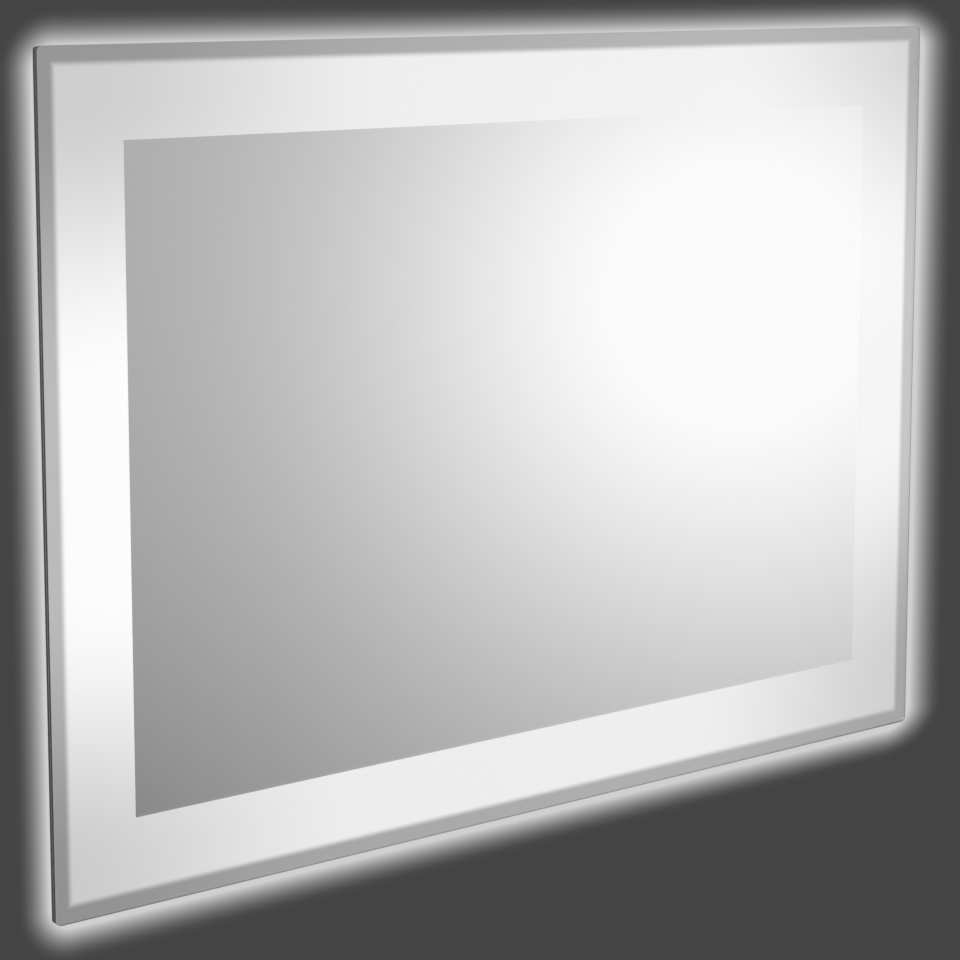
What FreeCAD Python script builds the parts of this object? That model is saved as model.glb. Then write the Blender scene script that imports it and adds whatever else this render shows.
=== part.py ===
"""Lighted bathroom mirror, 1100 x 800 x 35 mm, as separate pieces.

One pane of glass carries a silver layer in its middle and a frosted border round it. Four mitred
aluminium extrusions, joined by corner keys, are bonded behind the pane's edge and hold an opal sheet
in their rebate. A folded tray is screwed to them from behind. Inside the tray, baffles close a light
chamber behind the border, and the driver and the terminal box sit behind the silver. A second run of
light-emitting diodes goes round the outside of the tray, under the overhanging pane, and lights the
wall. A hanger rail on the tray hooks over a rail on the wall.

Millimetres. +X is right as seen from the front, +Z is up, and the pane faces -Y. The wall is the
plane y = 0, and the origin is the middle of the wall rail's screw line on that plane.
"""

import FreeCAD
import Part

import math
import os

from FreeCAD import Vector

# ---------------------------------------------------------------- driving dimensions

# Pane
glass_width = 1100.0
glass_height = 800.0
glass_thickness = 5.0
glass_corner_radius = 6.0
glass_arris = 0.8
overall_depth = 35.0
screw_line_drop = 170.0  # pane's top edge above the wall screws
border_width = 86.0  # pane's edge to the silver
silver_thickness = 0.2

# Frame extrusion, bonded behind the pane's edge
frame_inset = 0.8
frame_corner_radius = 4.0
frame_depth = 5.5
frame_wall = 1.3
frame_tube_width = 9.2
bond_thickness = 0.5
bond_margin = 0.8
ledge_width = 4.0
ledge_thickness = 1.5
key_leg = 30.0
key_clearance = 0.2
key_corner_radius = 2.5

# Opal sheet
opal_thickness = 2.0
opal_lap = 12.0  # behind the silver
opal_edge_gap = 0.4
opal_silver_gap = 0.1

# Tray
tray_sheet = 1.0
tray_setback = 14.0  # pane's edge to the tray's side wall
tray_flange_setback = 1.6
tray_corner_radius = 2.0
tray_bend_radius = 1.5  # outside; the inside of the fold is sharp
rib_width = 14.0
rib_rise = 2.0
rib_slope = 1.2
rib_count = 5
rib_pitch = 200.0
rib_top_drop = 240.0  # pane's top edge to the ribs
rib_bottom_rise = 135.0  # pane's bottom edge to the ribs

# Rails
rail_sheet = 1.6
rail_clearance = 0.3
rail_foot = 14.0
rail_step = 9.0
rail_hook = 13.0
rail_hook_gap = 2.0
hanger_foot = 24.0
wall_rail_length = 700.0
hanger_rail_length = 640.0
outer_hole_spacing = 600.0
inner_hole_spacing = 200.0
wall_hole_radius = 2.75
wall_slot_length = 12.0
bumper_radius = 8.5
bumper_setback = 60.0

# Baffles
baffle_sheet = 1.0
baffle_clearance = 2.0
baffle_lip = 9.0
baffle_foot = 12.0
pass_slot_width = 4.4
pass_slot_margin = 3.0

# Light strips
strip_width = 8.0
strip_thickness = 0.4
strip_floor_gap = 1.7
chip_length = 3.5
chip_width = 2.8
chip_height = 0.8
front_strip_end_gap = 150.0  # tray's inner corner to the strip's end
front_chip_pitch = 50.0
halo_strip_end_gap = 30.0  # tray's outer corner to the strip's end
halo_strip_bend_gap = 4.0  # tray's flange to the strip
halo_chip_pitch = 75.0
cover_depth = 3.5
cover_wall = 1.0
cover_side_gap = 0.5
cover_round = 0.8

# Electrics
electrics_rise = 100.0  # above the pane's middle
driver_x = 60.0
driver_length = 170.0
driver_width = 44.0
driver_height = 17.0
driver_wall = 1.6
board_thickness = 1.6
board_stand = 3.0
board_gap = 6.0
transformer_length = 28.0
transformer_width = 26.0
transformer_height = 8.0
sink_offset = 36.0
sink_length = 12.0
can_radius = 4.9
can_offset = 44.0
can_spacing = 14.0
can_height = 6.0
spacer_radius = 2.0
spacer_inset = 5.0
box_x = -130.0
box_length = 90.0
box_width = 50.0
box_height = 17.0
box_wall = 2.0
ear_length = 11.0
ear_thickness = 2.0
lid_clearance = 0.2
lid_spigot = 2.0
terminal_length = 34.0
terminal_width = 16.0
terminal_height = 11.0
terminal_poles = 3
terminal_pole_radius = 2.0
terminal_way_rise = 5.0  # box's floor to the wire ways' axes
terminal_offset = 16.0  # box's middle to the block's middle

# Leads
inlet_radius = 4.0
inlet_offset = -26.0  # box's middle to the supply inlet
grommet_neck_radius = 6.5
grommet_flange_radius = 9.5
grommet_flange = 1.5
link_radius = 3.0
link_hole_clearance = 0.15
link_rise = 8.0
wire_radius = 1.25
lead_sides = 6
wire_rise = 4.2
wire_spacing = 10.0
wire_bend = 20.0
wire_tail = 5.0
wire_hole_clearance = 0.15
wire_wall_lift = 9.0
wire_exit_bend = 7.0
halo_wire_radius = 1.0
halo_wire_gap = 0.1
feed_grommet_wall = 0.9
feed_grommet_flange = 1.0
clip_length = 24.0
clip_width = 7.0
clip_cover = 1.6
clip_level_shares = (0.3, 0.75)  # places along the level run
clip_drop_shares = (0.3, 0.8)  # places along the drop
pad_size = 40.0
pad_spacing_x = 540.0
pad_spacing_z = 300.0

# Fasteners: shank radius, head radius, head height
head_sides = 8
shank_sides = 6  # of shanks, their holes and other small pegs
head_taper = 0.75  # radius of a head's crown as a share of its seat
tray_screw = (1.4, 2.8, 1.8)
tray_screw_reach = 4.2
level_tray_screw_count = 4
upright_tray_screw_count = 2
tray_screw_end_gap = 90.0
ear_screw = (1.6, 3.0, 1.8)
ear_screw_reach = 1.2
lid_screw = (1.25, 2.5, 1.6)
lid_screw_length = 8.0
screw_clearance = 0.15
rivet_radius = 1.6
rivet_head_radius = 3.2
rivet_head = 0.9
rivet_tail_radius = 2.4
rivet_tail = 1.2
level_baffle_rivet_count = 3
upright_baffle_rivet_count = 2
baffle_rivet_end_gap = 60.0
hanger_rivet_count = 4
hanger_rivet_end_gap = 30.0
EPS = 1.0  # how far a cutting tool runs past the face that it cuts
SAME = 1e-3  # two places this close are one

# ---------------------------------------------------------------- places worked out from them

z_top = screw_line_drop
z_bottom = z_top - glass_height
z_middle = (z_top + z_bottom) / 2
z_electrics = z_middle + electrics_rise

y_glass_front = -overall_depth
y_glass_back = y_glass_front + glass_thickness
y_frame_front = y_glass_back + bond_thickness
y_frame_back = y_frame_front + frame_depth
y_silver_back = y_glass_back + silver_thickness
y_opal_front = y_silver_back + opal_silver_gap
y_opal_back = y_opal_front + opal_thickness

# The two rails nest: sheet, gap, sheet, gap, sheet, gap, sheet.
rail_layer = rail_sheet + rail_clearance
wall_gap = 3 * rail_layer + rail_sheet
y_tray_back = -wall_gap
y_floor = y_tray_back - tray_sheet
z_seat = rail_step + rail_hook
hook_overlap = rail_hook - rail_hook_gap

rim_width = frame_inset + frame_tube_width + ledge_width
tube_inner_from = frame_inset + frame_wall
tube_inner_to = frame_inset + frame_tube_width - frame_wall
screw_u = (tube_inner_from + tube_inner_to) / 2

inner_setback = tray_setback + tray_sheet
baffle_setback = border_width + opal_lap + baffle_clearance
foot_setback = baffle_setback + baffle_sheet + baffle_foot
front_strip_long = glass_width - 2 * (inner_setback + front_strip_end_gap)
front_strip_short = glass_height - 2 * (inner_setback + front_strip_end_gap)
halo_strip_long = glass_width - 2 * (tray_setback + halo_strip_end_gap)
halo_strip_short = glass_height - 2 * (tray_setback + halo_strip_end_gap)

y_front_strip = y_floor - strip_floor_gap - strip_width / 2
y_halo_strip = y_frame_back + tray_sheet + halo_strip_bend_gap + strip_width / 2
y_wire = y_floor - wire_rise
y_link = y_floor - link_rise

# ---------------------------------------------------------------- outlines and placing


def rounded_wire(width, height, radius, y):
    """Closed outline of a rounded rectangle round the pane's middle, in the plane at y."""
    a, b = width / 2, height / 2
    turn = radius * (1 - math.sqrt(0.5))

    def at(x, z):
        return Vector(x, y, z_middle + z)

    edges = [
        Part.LineSegment(at(-a + radius, -b), at(a - radius, -b)),
        Part.Arc(at(a - radius, -b), at(a - turn, -b + turn), at(a, -b + radius)),
        Part.LineSegment(at(a, -b + radius), at(a, b - radius)),
        Part.Arc(at(a, b - radius), at(a - turn, b - turn), at(a - radius, b)),
        Part.LineSegment(at(a - radius, b), at(-a + radius, b)),
        Part.Arc(at(-a + radius, b), at(-a + turn, b - turn), at(-a, b - radius)),
        Part.LineSegment(at(-a, b - radius), at(-a, -b + radius)),
        Part.Arc(at(-a, -b + radius), at(-a + turn, -b + turn), at(-a + radius, -b)),
    ]
    return Part.Wire([e.toShape() for e in edges])


def square_wire(width, height, y):
    """Closed outline of a sharp rectangle round the pane's middle, in the plane at y."""
    a, b = width / 2, height / 2
    corners = [(-a, -b), (a, -b), (a, b), (-a, b), (-a, -b)]
    return Part.makePolygon([Vector(x, y, z_middle + z) for x, z in corners])


def thicken(wire, y_from, y_to):
    """Solid between two depths on an outline that lies at y_from."""
    return Part.Face(wire).extrude(Vector(0, y_to - y_from, 0))


def ring_at(setback, radius, y_from, y_to):
    """Solid plate whose edge is set back from the pane's edge all round."""
    width, height = glass_width - 2 * setback, glass_height - 2 * setback
    if radius > 0:
        return thicken(rounded_wire(width, height, radius, y_from), y_from, y_to)
    return thicken(square_wire(width, height, y_from), y_from, y_to)


def block(x, z, length, height, y_from, y_to):
    """Box centred on (x, z) between two depths."""
    low = min(y_from, y_to)
    corner = Vector(x - length / 2, low, z - height / 2)
    return Part.makeBox(length, abs(y_to - y_from), height, corner)


def rod(radius, x, z, y_from, y_to):
    """Cylinder along the depth."""
    low = min(y_from, y_to)
    return Part.makeCylinder(radius, abs(y_to - y_from), Vector(x, low, z), Vector(0, 1, 0))


def polygon(sides, radius, centre, axis):
    """Closed regular outline round a point, square to an axis."""
    side = Vector(0, 0, 1) if abs(axis.z) < 0.5 else Vector(1, 0, 0)
    up = axis.cross(side).normalize()
    corners = []
    for i in range(sides + 1):
        turn = 2 * math.pi * (i % sides) / sides
        corners.append(centre + (side * math.cos(turn) + up * math.sin(turn)) * radius)
    return Part.makePolygon(corners)


def prism(sides, radius, start, along):
    """Bar with a regular outline, from a point along a vector."""
    axis = Vector(along).normalize()
    return Part.Face(polygon(sides, radius, start, axis)).extrude(along)


def peg(radius, x, z, y_from, y_to, sides=shank_sides):
    """Shank of a fastener, or its hole, along the depth: too small to need more than its few sides."""
    return prism(sides, radius, Vector(x, y_from, z), Vector(0, y_to - y_from, 0))


def head(radius, x, z, y_seat, y_crown):
    """Head of a fastener, which narrows from its seat to its crown."""
    axis = Vector(0, 1, 0)
    seat = polygon(head_sides, radius, Vector(x, y_seat, z), axis)
    crown = polygon(head_sides, radius * head_taper, Vector(x, y_crown, z), axis)
    return Part.makeLoft([seat, crown], True, True)


def stadium(length, width, x, z, y_from, y_to):
    """Round-ended plate along X."""
    r, half = width / 2, (length - width) / 2

    def at(u, v):
        return Vector(x + u, y_from, z + v)

    edges = [
        Part.LineSegment(at(-half, r), at(half, r)),
        Part.Arc(at(half, r), at(half + r, 0), at(half, -r)),
        Part.LineSegment(at(half, -r), at(-half, -r)),
        Part.Arc(at(-half, -r), at(-half - r, 0), at(-half, r)),
    ]
    return thicken(Part.Wire([e.toShape() for e in edges]), y_from, y_to)


# Each side of the mirror has its own local frame: X along the side from its middle, Z inwards from the
# pane's edge, Y as in the part. These turn that frame into place.
SIDES = {
    "bottom": (0, Vector(0, 0, z_bottom), glass_width),
    "left": (90, Vector(-glass_width / 2, 0, z_middle), glass_height),
    "top": (180, Vector(0, 0, z_top), glass_width),
    "right": (-90, Vector(glass_width / 2, 0, z_middle), glass_height),
}


def to_side(shape, side):
    """A copy of a shape, taken from a side's local frame to its place."""
    angle, origin, _ = SIDES[side]
    placed = shape.copy()
    placed.rotate(Vector(0, 0, 0), Vector(0, 1, 0), angle)
    placed.translate(origin)
    return placed


def side_length(side):
    return SIDES[side][2]


def is_long(side):
    return side in ("top", "bottom")


def profile_bar(points, side, reach):
    """Bar with a section given as (inwards, y) points, mitred at both ends and put on its side.

    reach is how far inwards the mitre cut goes, past the section.
    """
    length = side_length(side)
    outline = [Vector(-length / 2, y, u) for u, y in points]
    bar = Part.Face(Part.makePolygon(outline + outline[:1])).extrude(Vector(length, 0, 0))
    half = length / 2
    y_low = y_glass_front - EPS
    corners = [(-half, 0), (half, 0), (half - reach, reach), (-half + reach, reach), (-half, 0)]
    mitre = Part.Face(Part.makePolygon([Vector(s, y_low, u) for s, u in corners]))
    return to_side(bar.common(mitre.extrude(Vector(0, overall_depth + 2 * EPS, 0))), side)


def spread(count, length):
    """Evenly spaced places along a length, from its middle, the first and last on its ends."""
    if count == 1:
        return [0.0]
    return [length * (i / (count - 1) - 0.5) for i in range(count)]


def single(shape):
    """The one solid that a boolean leaves."""
    if len(shape.Solids) != 1:
        raise ValueError(f"expected one solid, found {len(shape.Solids)}")
    return shape.Solids[0]


def group(shapes):
    """Several separate solids as one node."""
    return Part.makeCompound([s for shape in shapes for s in shape.Solids])


# ---------------------------------------------------------------- pane, silver and opal sheet


def make_mirror_glass():
    """Float glass with rounded corners and a ground arris on both edges."""
    pane = ring_at(0, glass_corner_radius, y_glass_front, y_glass_back)
    edges = [
        e
        for e in pane.Edges
        if abs(e.BoundBox.YMin - e.BoundBox.YMax) < SAME
    ]
    return pane.makeChamfer(glass_arris, edges)


def make_silver_layer():
    return ring_at(border_width, 0, y_glass_back, y_silver_back)


def make_opal_sheet():
    """Opal ring: its outer edge lies in the frame's rebate, its inner edge on the baffles' lips."""
    edge = frame_inset + frame_tube_width + opal_edge_gap
    sheet = ring_at(edge, 0, y_opal_front, y_opal_back)
    window = ring_at(border_width + opal_lap, 0, y_opal_front - EPS, y_opal_back + EPS)
    return single(sheet.cut(window))


# ---------------------------------------------------------------- frame


def tray_screw_places():
    """(side, place along it) of each screw that joins the tray to the frame."""
    places = []
    for side in SIDES:
        count = level_tray_screw_count if is_long(side) else upright_tray_screw_count
        length = side_length(side) - 2 * tray_screw_end_gap
        places += [(side, s) for s in spread(count, length)]
    return places


def side_peg(radius, side, s, u, y_from, y_to):
    return to_side(peg(radius, s, u, y_from, y_to), side)


def make_frame_bars():
    """Mitred tube with a ledge along its inner side, which carries the opal sheet."""
    u0 = frame_inset
    u1 = frame_inset + frame_tube_width
    y_ledge = y_opal_back
    section = [
        (u0, y_frame_front),
        (u1, y_frame_front),
        (u1, y_ledge),
        (rim_width, y_ledge),
        (rim_width, y_ledge + ledge_thickness),
        (u1, y_ledge + ledge_thickness),
        (u1, y_frame_back),
        (u0 + frame_wall, y_frame_back),
        (u0, y_frame_back - frame_wall),
    ]
    hollow = [
        (tube_inner_from, y_frame_front + frame_wall),
        (tube_inner_to, y_frame_front + frame_wall),
        (tube_inner_to, y_frame_back - frame_wall),
        (tube_inner_from, y_frame_back - frame_wall),
    ]
    rounding = ring_at(
        frame_inset, frame_corner_radius, y_frame_front - EPS, y_frame_back + EPS
    )
    bars = {}
    for side in SIDES:
        bar = profile_bar(section, side, rim_width + EPS)
        bar = bar.cut(profile_bar(hollow, side, rim_width + EPS)).common(rounding)
        for where, s in tray_screw_places():
            if where == side:
                hole = tray_screw[0] + screw_clearance
                y_from = y_frame_back - frame_wall - EPS
                bar = bar.cut(side_peg(hole, side, s, screw_u, y_from, y_frame_back + EPS))
        bars[f"frame_{side}"] = single(bar)
    return bars


def make_corner_keys():
    """Bent keys that slide into the tubes and hold the mitres."""
    width = tube_inner_to - tube_inner_from - 2 * key_clearance
    y_from = y_frame_front + frame_wall + key_clearance
    y_to = y_frame_back - frame_wall - key_clearance
    setback = tube_inner_from + key_clearance
    plate = ring_at(setback, key_corner_radius, y_from, y_to)
    plate = plate.cut(ring_at(setback + width, 0, y_from - EPS, y_to + EPS))
    keys = []
    for sx in (-1, 1):
        for sz in (-1, 1):
            x = sx * (glass_width - 2 * setback - key_leg) / 2
            z = z_middle + sz * (glass_height - 2 * setback - key_leg) / 2
            keys.append(plate.common(block(x, z, key_leg, key_leg, y_from - EPS, y_to + EPS)))
    return group(keys)


def make_glass_bond():
    """Adhesive between the pane and the frame."""
    outer = frame_inset + bond_margin
    inner = frame_inset + frame_tube_width - bond_margin
    bead = ring_at(outer, frame_corner_radius, y_glass_back, y_frame_front)
    return single(bead.cut(ring_at(inner, 0, y_glass_back - EPS, y_frame_front + EPS)))


# ---------------------------------------------------------------- tray


def edges_at(shape, y):
    """Edges that lie in the plane at y."""
    found = []
    for e in shape.Edges:
        b = e.BoundBox
        if abs(b.YMin - y) < SAME and abs(b.YMax - y) < SAME:
            found.append(e)
    return found


def rib_places():
    return spread(rib_count, rib_pitch * (rib_count - 1))


def rib_wire(x, inset, y):
    """Outline of a rib: an upright bar with its four corners cut off."""
    top = z_top - rib_top_drop - inset
    bottom = z_bottom + rib_bottom_rise + inset
    a = rib_width / 2 - inset
    b = a / 2
    corners = [(-b, bottom), (b, bottom), (a, bottom + b), (a, top - b), (b, top), (-b, top)]
    corners += [(-a, top - b), (-a, bottom + b), (-b, bottom)]
    return Part.makePolygon([Vector(x + u, y, z) for u, z in corners])


def pressed_rib(x, inset, y_root, y_crown):
    """Rib pressed towards the wall, with sloping sides."""
    root = rib_wire(x, inset, y_root)
    crown = rib_wire(x, inset + rib_slope, y_crown)
    return Part.makeLoft([root, crown], True, True)


def baffle_rivet_places():
    """(side, place along it) of each rivet that holds a baffle's foot."""
    places = []
    for side in SIDES:
        count = level_baffle_rivet_count if is_long(side) else upright_baffle_rivet_count
        length = side_length(side) - 2 * (foot_setback + baffle_rivet_end_gap)
        places += [(side, s) for s in spread(count, length)]
    return places


def hanger_rivet_places():
    z = z_seat + rail_sheet + (hanger_foot - rail_sheet) / 2
    return [(x, z) for x in spread(hanger_rivet_count, hanger_rail_length - 2 * hanger_rivet_end_gap)]


def ear_screw_places():
    """Screws through the ears of the driver and the terminal box."""
    driver = (driver_length + ear_length) / 2
    box = (box_length + ear_length) / 2
    return [
        (driver_x - driver, z_electrics),
        (driver_x + driver, z_electrics),
        (box_x - box, z_electrics),
        (box_x + box, z_electrics),
    ]


def make_rear_tray():
    """Folded sheet: floor with pressed ribs, four walls, and a flange that lies on the frame."""
    y_flange = y_frame_back + tray_sheet
    flange = ring_at(tray_flange_setback, frame_corner_radius, y_frame_back, y_flange)
    outer = ring_at(tray_setback, tray_corner_radius, y_frame_back, y_tray_back)
    outer = outer.makeFillet(tray_bend_radius, edges_at(outer, y_tray_back))
    inner = ring_at(inner_setback, tray_corner_radius - tray_sheet, y_frame_back - EPS, y_floor)
    tray = flange.fuse(outer)
    for x in rib_places():
        tray = tray.fuse(pressed_rib(x, 0, y_floor, y_tray_back + rib_rise))
    tray = tray.cut(inner)
    for x in rib_places():
        groove = pressed_rib(x, tray_sheet, y_floor - EPS, y_floor + rib_rise)
        tray = tray.cut(groove)

    holes = []
    for side, s in tray_screw_places():
        r = tray_screw[0] + screw_clearance
        holes.append(side_peg(r, side, s, screw_u, y_frame_back - EPS, y_flange + EPS))
    foot_middle = foot_setback - baffle_foot / 2
    for side, s in baffle_rivet_places():
        holes.append(
            side_peg(rivet_radius, side, s, foot_middle, y_floor - EPS, y_tray_back + EPS)
        )
    for x, z in hanger_rivet_places():
        holes.append(peg(rivet_radius, x, z, y_floor - EPS, y_tray_back + EPS))
    for x, z in ear_screw_places():
        holes.append(peg(ear_screw[0] + screw_clearance, x, z, y_floor - EPS, y_tray_back + EPS))
    holes.append(
        rod(grommet_neck_radius, box_x + inlet_offset, z_electrics, y_floor - EPS, y_tray_back + EPS)
    )
    holes.append(
        feed_exit(head_sides, feed_exit_radius(), tray_setback - EPS, inner_setback + EPS)
    )
    return single(tray.cut(holes))


def make_tray_screws():
    """Pan-head screws through the tray's flange into the frame's tube."""
    shank, crown, height = tray_screw
    y_seat = y_frame_back + tray_sheet
    screws = []
    for side, s in tray_screw_places():
        screw = peg(shank, s, screw_u, y_seat - tray_sheet - tray_screw_reach, y_seat)
        cap = head(crown, s, screw_u, y_seat, y_seat + height)
        screws.append(to_side(screw.fuse(cap), side))
    return group(screws)


# ---------------------------------------------------------------- baffles


def make_baffles():
    """Mitred Z-section walls between the light chamber and the space behind the silver."""
    u_lip = baffle_setback + baffle_sheet - baffle_lip
    u_web = baffle_setback
    u_in = baffle_setback + baffle_sheet
    section = [
        (u_lip, y_opal_back),
        (u_in, y_opal_back),
        (u_in, y_floor - baffle_sheet),
        (foot_setback, y_floor - baffle_sheet),
        (foot_setback, y_floor),
        (u_web, y_floor),
        (u_web, y_opal_back + baffle_sheet),
        (u_lip, y_opal_back + baffle_sheet),
    ]
    bars = {}
    foot_middle = foot_setback - baffle_foot / 2
    for side in SIDES:
        bar = profile_bar(section, side, foot_setback + EPS)
        for where, s in baffle_rivet_places():
            if where == side:
                y_from = y_floor - baffle_sheet - EPS
                bar = bar.cut(side_peg(rivet_radius, side, s, foot_middle, y_from, y_floor + EPS))
        if side == "bottom":
            bar = bar.cut(feed_pass())
        bars[f"baffle_{side}"] = single(bar)
    return bars


def rivet(x, z, y_head, y_tail):
    """Blind rivet: head towards the wall, upset tail inside."""
    cap = head(rivet_head_radius, x, z, y_head, y_head + rivet_head)
    shank = peg(rivet_radius, x, z, y_tail, y_head)
    tail = peg(rivet_tail_radius, x, z, y_tail - rivet_tail, y_tail)
    return cap.fuse([shank, tail])


def make_baffle_rivets():
    foot_middle = foot_setback - baffle_foot / 2
    rivets = []
    for side, s in baffle_rivet_places():
        one = rivet(s, foot_middle, y_tray_back, y_floor - baffle_sheet)
        rivets.append(to_side(one, side))
    return group(rivets)


# ---------------------------------------------------------------- light strips


def side_strip(side, length, u_from, u_to, y):
    strip = block(0, (u_from + u_to) / 2, length, abs(u_to - u_from), y - strip_width / 2,
                  y + strip_width / 2)
    return to_side(strip, side)


def side_chips(side, length, pitch, u_from, u_to, y):
    """Light-emitting diodes in a row, centred on their strip."""
    count = int((length - chip_length) / pitch) + 1
    row = spread(count, pitch * (count - 1))
    chips = []
    for s in row:
        chip = block(s, (u_from + u_to) / 2, chip_length, abs(u_to - u_from), y - chip_width / 2,
                     y + chip_width / 2)
        chips.append(to_side(chip, side))
    return chips


def make_front_strips():
    """Strips on the tray's inner walls, shining inwards across the light chamber."""
    nodes, chips = {}, []
    face = inner_setback + strip_thickness
    for side in SIDES:
        length = front_strip_long if is_long(side) else front_strip_short
        nodes[f"front_strip_{side}"] = side_strip(side, length, inner_setback, face, y_front_strip)
        chips += side_chips(side, length, front_chip_pitch, face, face + chip_height, y_front_strip)
    nodes["front_chips"] = group(chips)
    return nodes


def make_halo_strips():
    """Strips on the tray's outer walls, under the overhanging pane, shining outwards."""
    nodes, chips = {}, []
    face = tray_setback - strip_thickness
    for side in SIDES:
        length = halo_strip_long if is_long(side) else halo_strip_short
        nodes[f"halo_strip_{side}"] = side_strip(side, length, face, tray_setback, y_halo_strip)
        chips += side_chips(side, length, halo_chip_pitch, face - chip_height, face, y_halo_strip)
    nodes["halo_chips"] = group(chips)
    return nodes


def make_halo_covers():
    """Opal channels over the halo strips, mitred at the corners."""
    half_in = strip_width / 2 + cover_side_gap
    half_out = half_in + cover_wall
    u_out = tray_setback - cover_depth
    y = y_halo_strip
    section = [
        (tray_setback, y - half_out),
        (u_out + cover_round, y - half_out),
        (u_out, y - half_out + cover_round),
        (u_out, y + half_out - cover_round),
        (u_out + cover_round, y + half_out),
        (tray_setback, y + half_out),
        (tray_setback, y + half_in),
        (u_out + cover_wall, y + half_in),
        (u_out + cover_wall, y - half_in),
        (tray_setback, y - half_in),
    ]
    return {f"halo_cover_{side}": profile_bar(section, side, tray_setback + EPS) for side in SIDES}


# ---------------------------------------------------------------- electrics


def upright_edges(shape, depth):
    """Edges that run all through a plate's depth."""
    return [e for e in shape.Edges if abs(e.BoundBox.YLength - depth) < SAME]


def housing(x, length, width, height, wall):
    """Open box on the tray's floor with a screw ear at each end."""
    y_open = y_floor - height
    body = block(x, z_electrics, length, width, y_floor, y_open)
    body = body.makeChamfer(wall, upright_edges(body, height))
    ears = block(
        x, z_electrics, length + 2 * ear_length, width / 2, y_floor, y_floor - ear_thickness
    )
    body = body.fuse(ears)
    room = block(
        x, z_electrics, length - 2 * wall, width - 2 * wall, y_floor - wall, y_open - EPS
    )
    body = body.cut(room)
    for sign in (-1, 1):
        sx = x + sign * (length + ear_length) / 2
        hole = peg(ear_screw[0] + screw_clearance, sx, z_electrics, y_floor + EPS,
                   y_floor - ear_thickness - EPS)
        body = body.cut(hole)
    return body


def lid_post_places(x, length, width, wall):
    """Two opposite corners inside a housing, for its lid's screws."""
    reach = wall + lid_screw[1]
    dx, dz = length / 2 - reach, width / 2 - reach
    return [(x - dx, z_electrics + dz), (x + dx, z_electrics - dz)]


def with_posts(body, x, length, width, height, wall):
    """Adds the posts that the lid's screws bite into."""
    y_open = y_floor - height + lid_clearance
    for px, pz in lid_post_places(x, length, width, wall):
        post = block(px, pz, 2 * lid_screw[1], 2 * lid_screw[1], y_floor - wall / 2, y_open)
        body = body.fuse(post)
    for px, pz in lid_post_places(x, length, width, wall):
        bore = peg(lid_screw[0] + screw_clearance, px, pz, y_open - EPS,
                   y_open + lid_screw_length)
        body = body.cut(bore)
    return body


def housing_lid(x, length, width, height, wall):
    """Flat lid with a spigot that drops inside the walls."""
    y_seat = y_floor - height
    lid = block(x, z_electrics, length, width, y_seat, y_seat - wall)
    lid = lid.makeChamfer(wall, upright_edges(lid, wall))
    inset = 2 * (wall + lid_clearance)
    rim = block(x, z_electrics, length - inset, width - inset, y_seat, y_seat + lid_spigot)
    core = block(
        x,
        z_electrics,
        length - inset - 2 * wall,
        width - inset - 2 * wall,
        y_seat - EPS / 2,
        y_seat + lid_spigot + EPS,
    )
    rim = rim.cut(core)
    for px, pz in lid_post_places(x, length, width, wall):
        room = 2 * (lid_screw[1] + lid_clearance)
        notch = block(px, pz, room + wall, room + wall, y_seat, y_seat + lid_spigot + EPS)
        rim = rim.cut(notch)
    lid = lid.fuse(rim)
    for px, pz in lid_post_places(x, length, width, wall):
        r = lid_screw[0] + screw_clearance
        lid = lid.cut(peg(r, px, pz, y_seat - wall - EPS, y_seat + EPS))
    return single(lid)


def link_hole():
    """Bore for the mains link through the walls that face each other."""
    left = box_x + box_length / 2 - 2 * box_wall
    right = driver_x - driver_length / 2 + 2 * driver_wall
    radius = link_radius + link_hole_clearance
    start = Vector(left, y_link, z_electrics)
    return prism(lead_sides, radius, start, Vector(right - left, 0, 0))


def feed_heights():
    """Height of the front feed lead and of the halo feed lead where they leave the driver."""
    return z_electrics - wire_spacing / 2, z_electrics + wire_spacing / 2


def make_driver_case():
    case = housing(driver_x, driver_length, driver_width, driver_height, driver_wall)
    case = with_posts(case, driver_x, driver_length, driver_width, driver_height, driver_wall)
    case = case.cut(link_hole())
    right = driver_x + driver_length / 2
    for z in feed_heights():
        start = Vector(right - 2 * driver_wall, y_wire, z)
        radius = wire_radius + wire_hole_clearance
        case = case.cut(prism(lead_sides, radius, start, Vector(3 * driver_wall, 0, 0)))
    return single(case)


def make_driver_board():
    """Circuit board with a transformer, two capacitors and a heat sink, on its spacers."""
    length = driver_length - 2 * (driver_wall + lid_screw[1] * 2 + board_gap)
    width = driver_width - 2 * (driver_wall + board_gap / 2)
    y_board = y_floor - driver_wall - board_stand
    y_top = y_board - board_thickness
    board = block(driver_x, z_electrics, length, width, y_board, y_top)
    transformer = block(
        driver_x, z_electrics, transformer_length, transformer_width, y_board, y_top - transformer_height
    )
    sink = block(
        driver_x + sink_offset, z_electrics, sink_length, transformer_width, y_board, y_top - can_height
    )
    cans = [
        peg(can_radius, driver_x - can_offset, z_electrics + s * can_spacing / 2, y_board,
            y_top - can_height, head_sides)
        for s in (-1, 1)
    ]
    spacers = [
        peg(spacer_radius, driver_x + sx * (length / 2 - spacer_inset),
            z_electrics + sz * (width / 2 - spacer_inset), y_floor - driver_wall, y_top)
        for sx in (-1, 1)
        for sz in (-1, 1)
    ]
    return single(board.fuse([transformer, sink] + cans + spacers))


def make_terminal_box():
    box = housing(box_x, box_length, box_width, box_height, box_wall)
    box = with_posts(box, box_x, box_length, box_width, box_height, box_wall)
    inlet = rod(
        grommet_neck_radius, box_x + inlet_offset, z_electrics, y_floor - box_wall - EPS, y_floor + EPS
    )
    return single(box.cut([link_hole(), inlet]))


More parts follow.
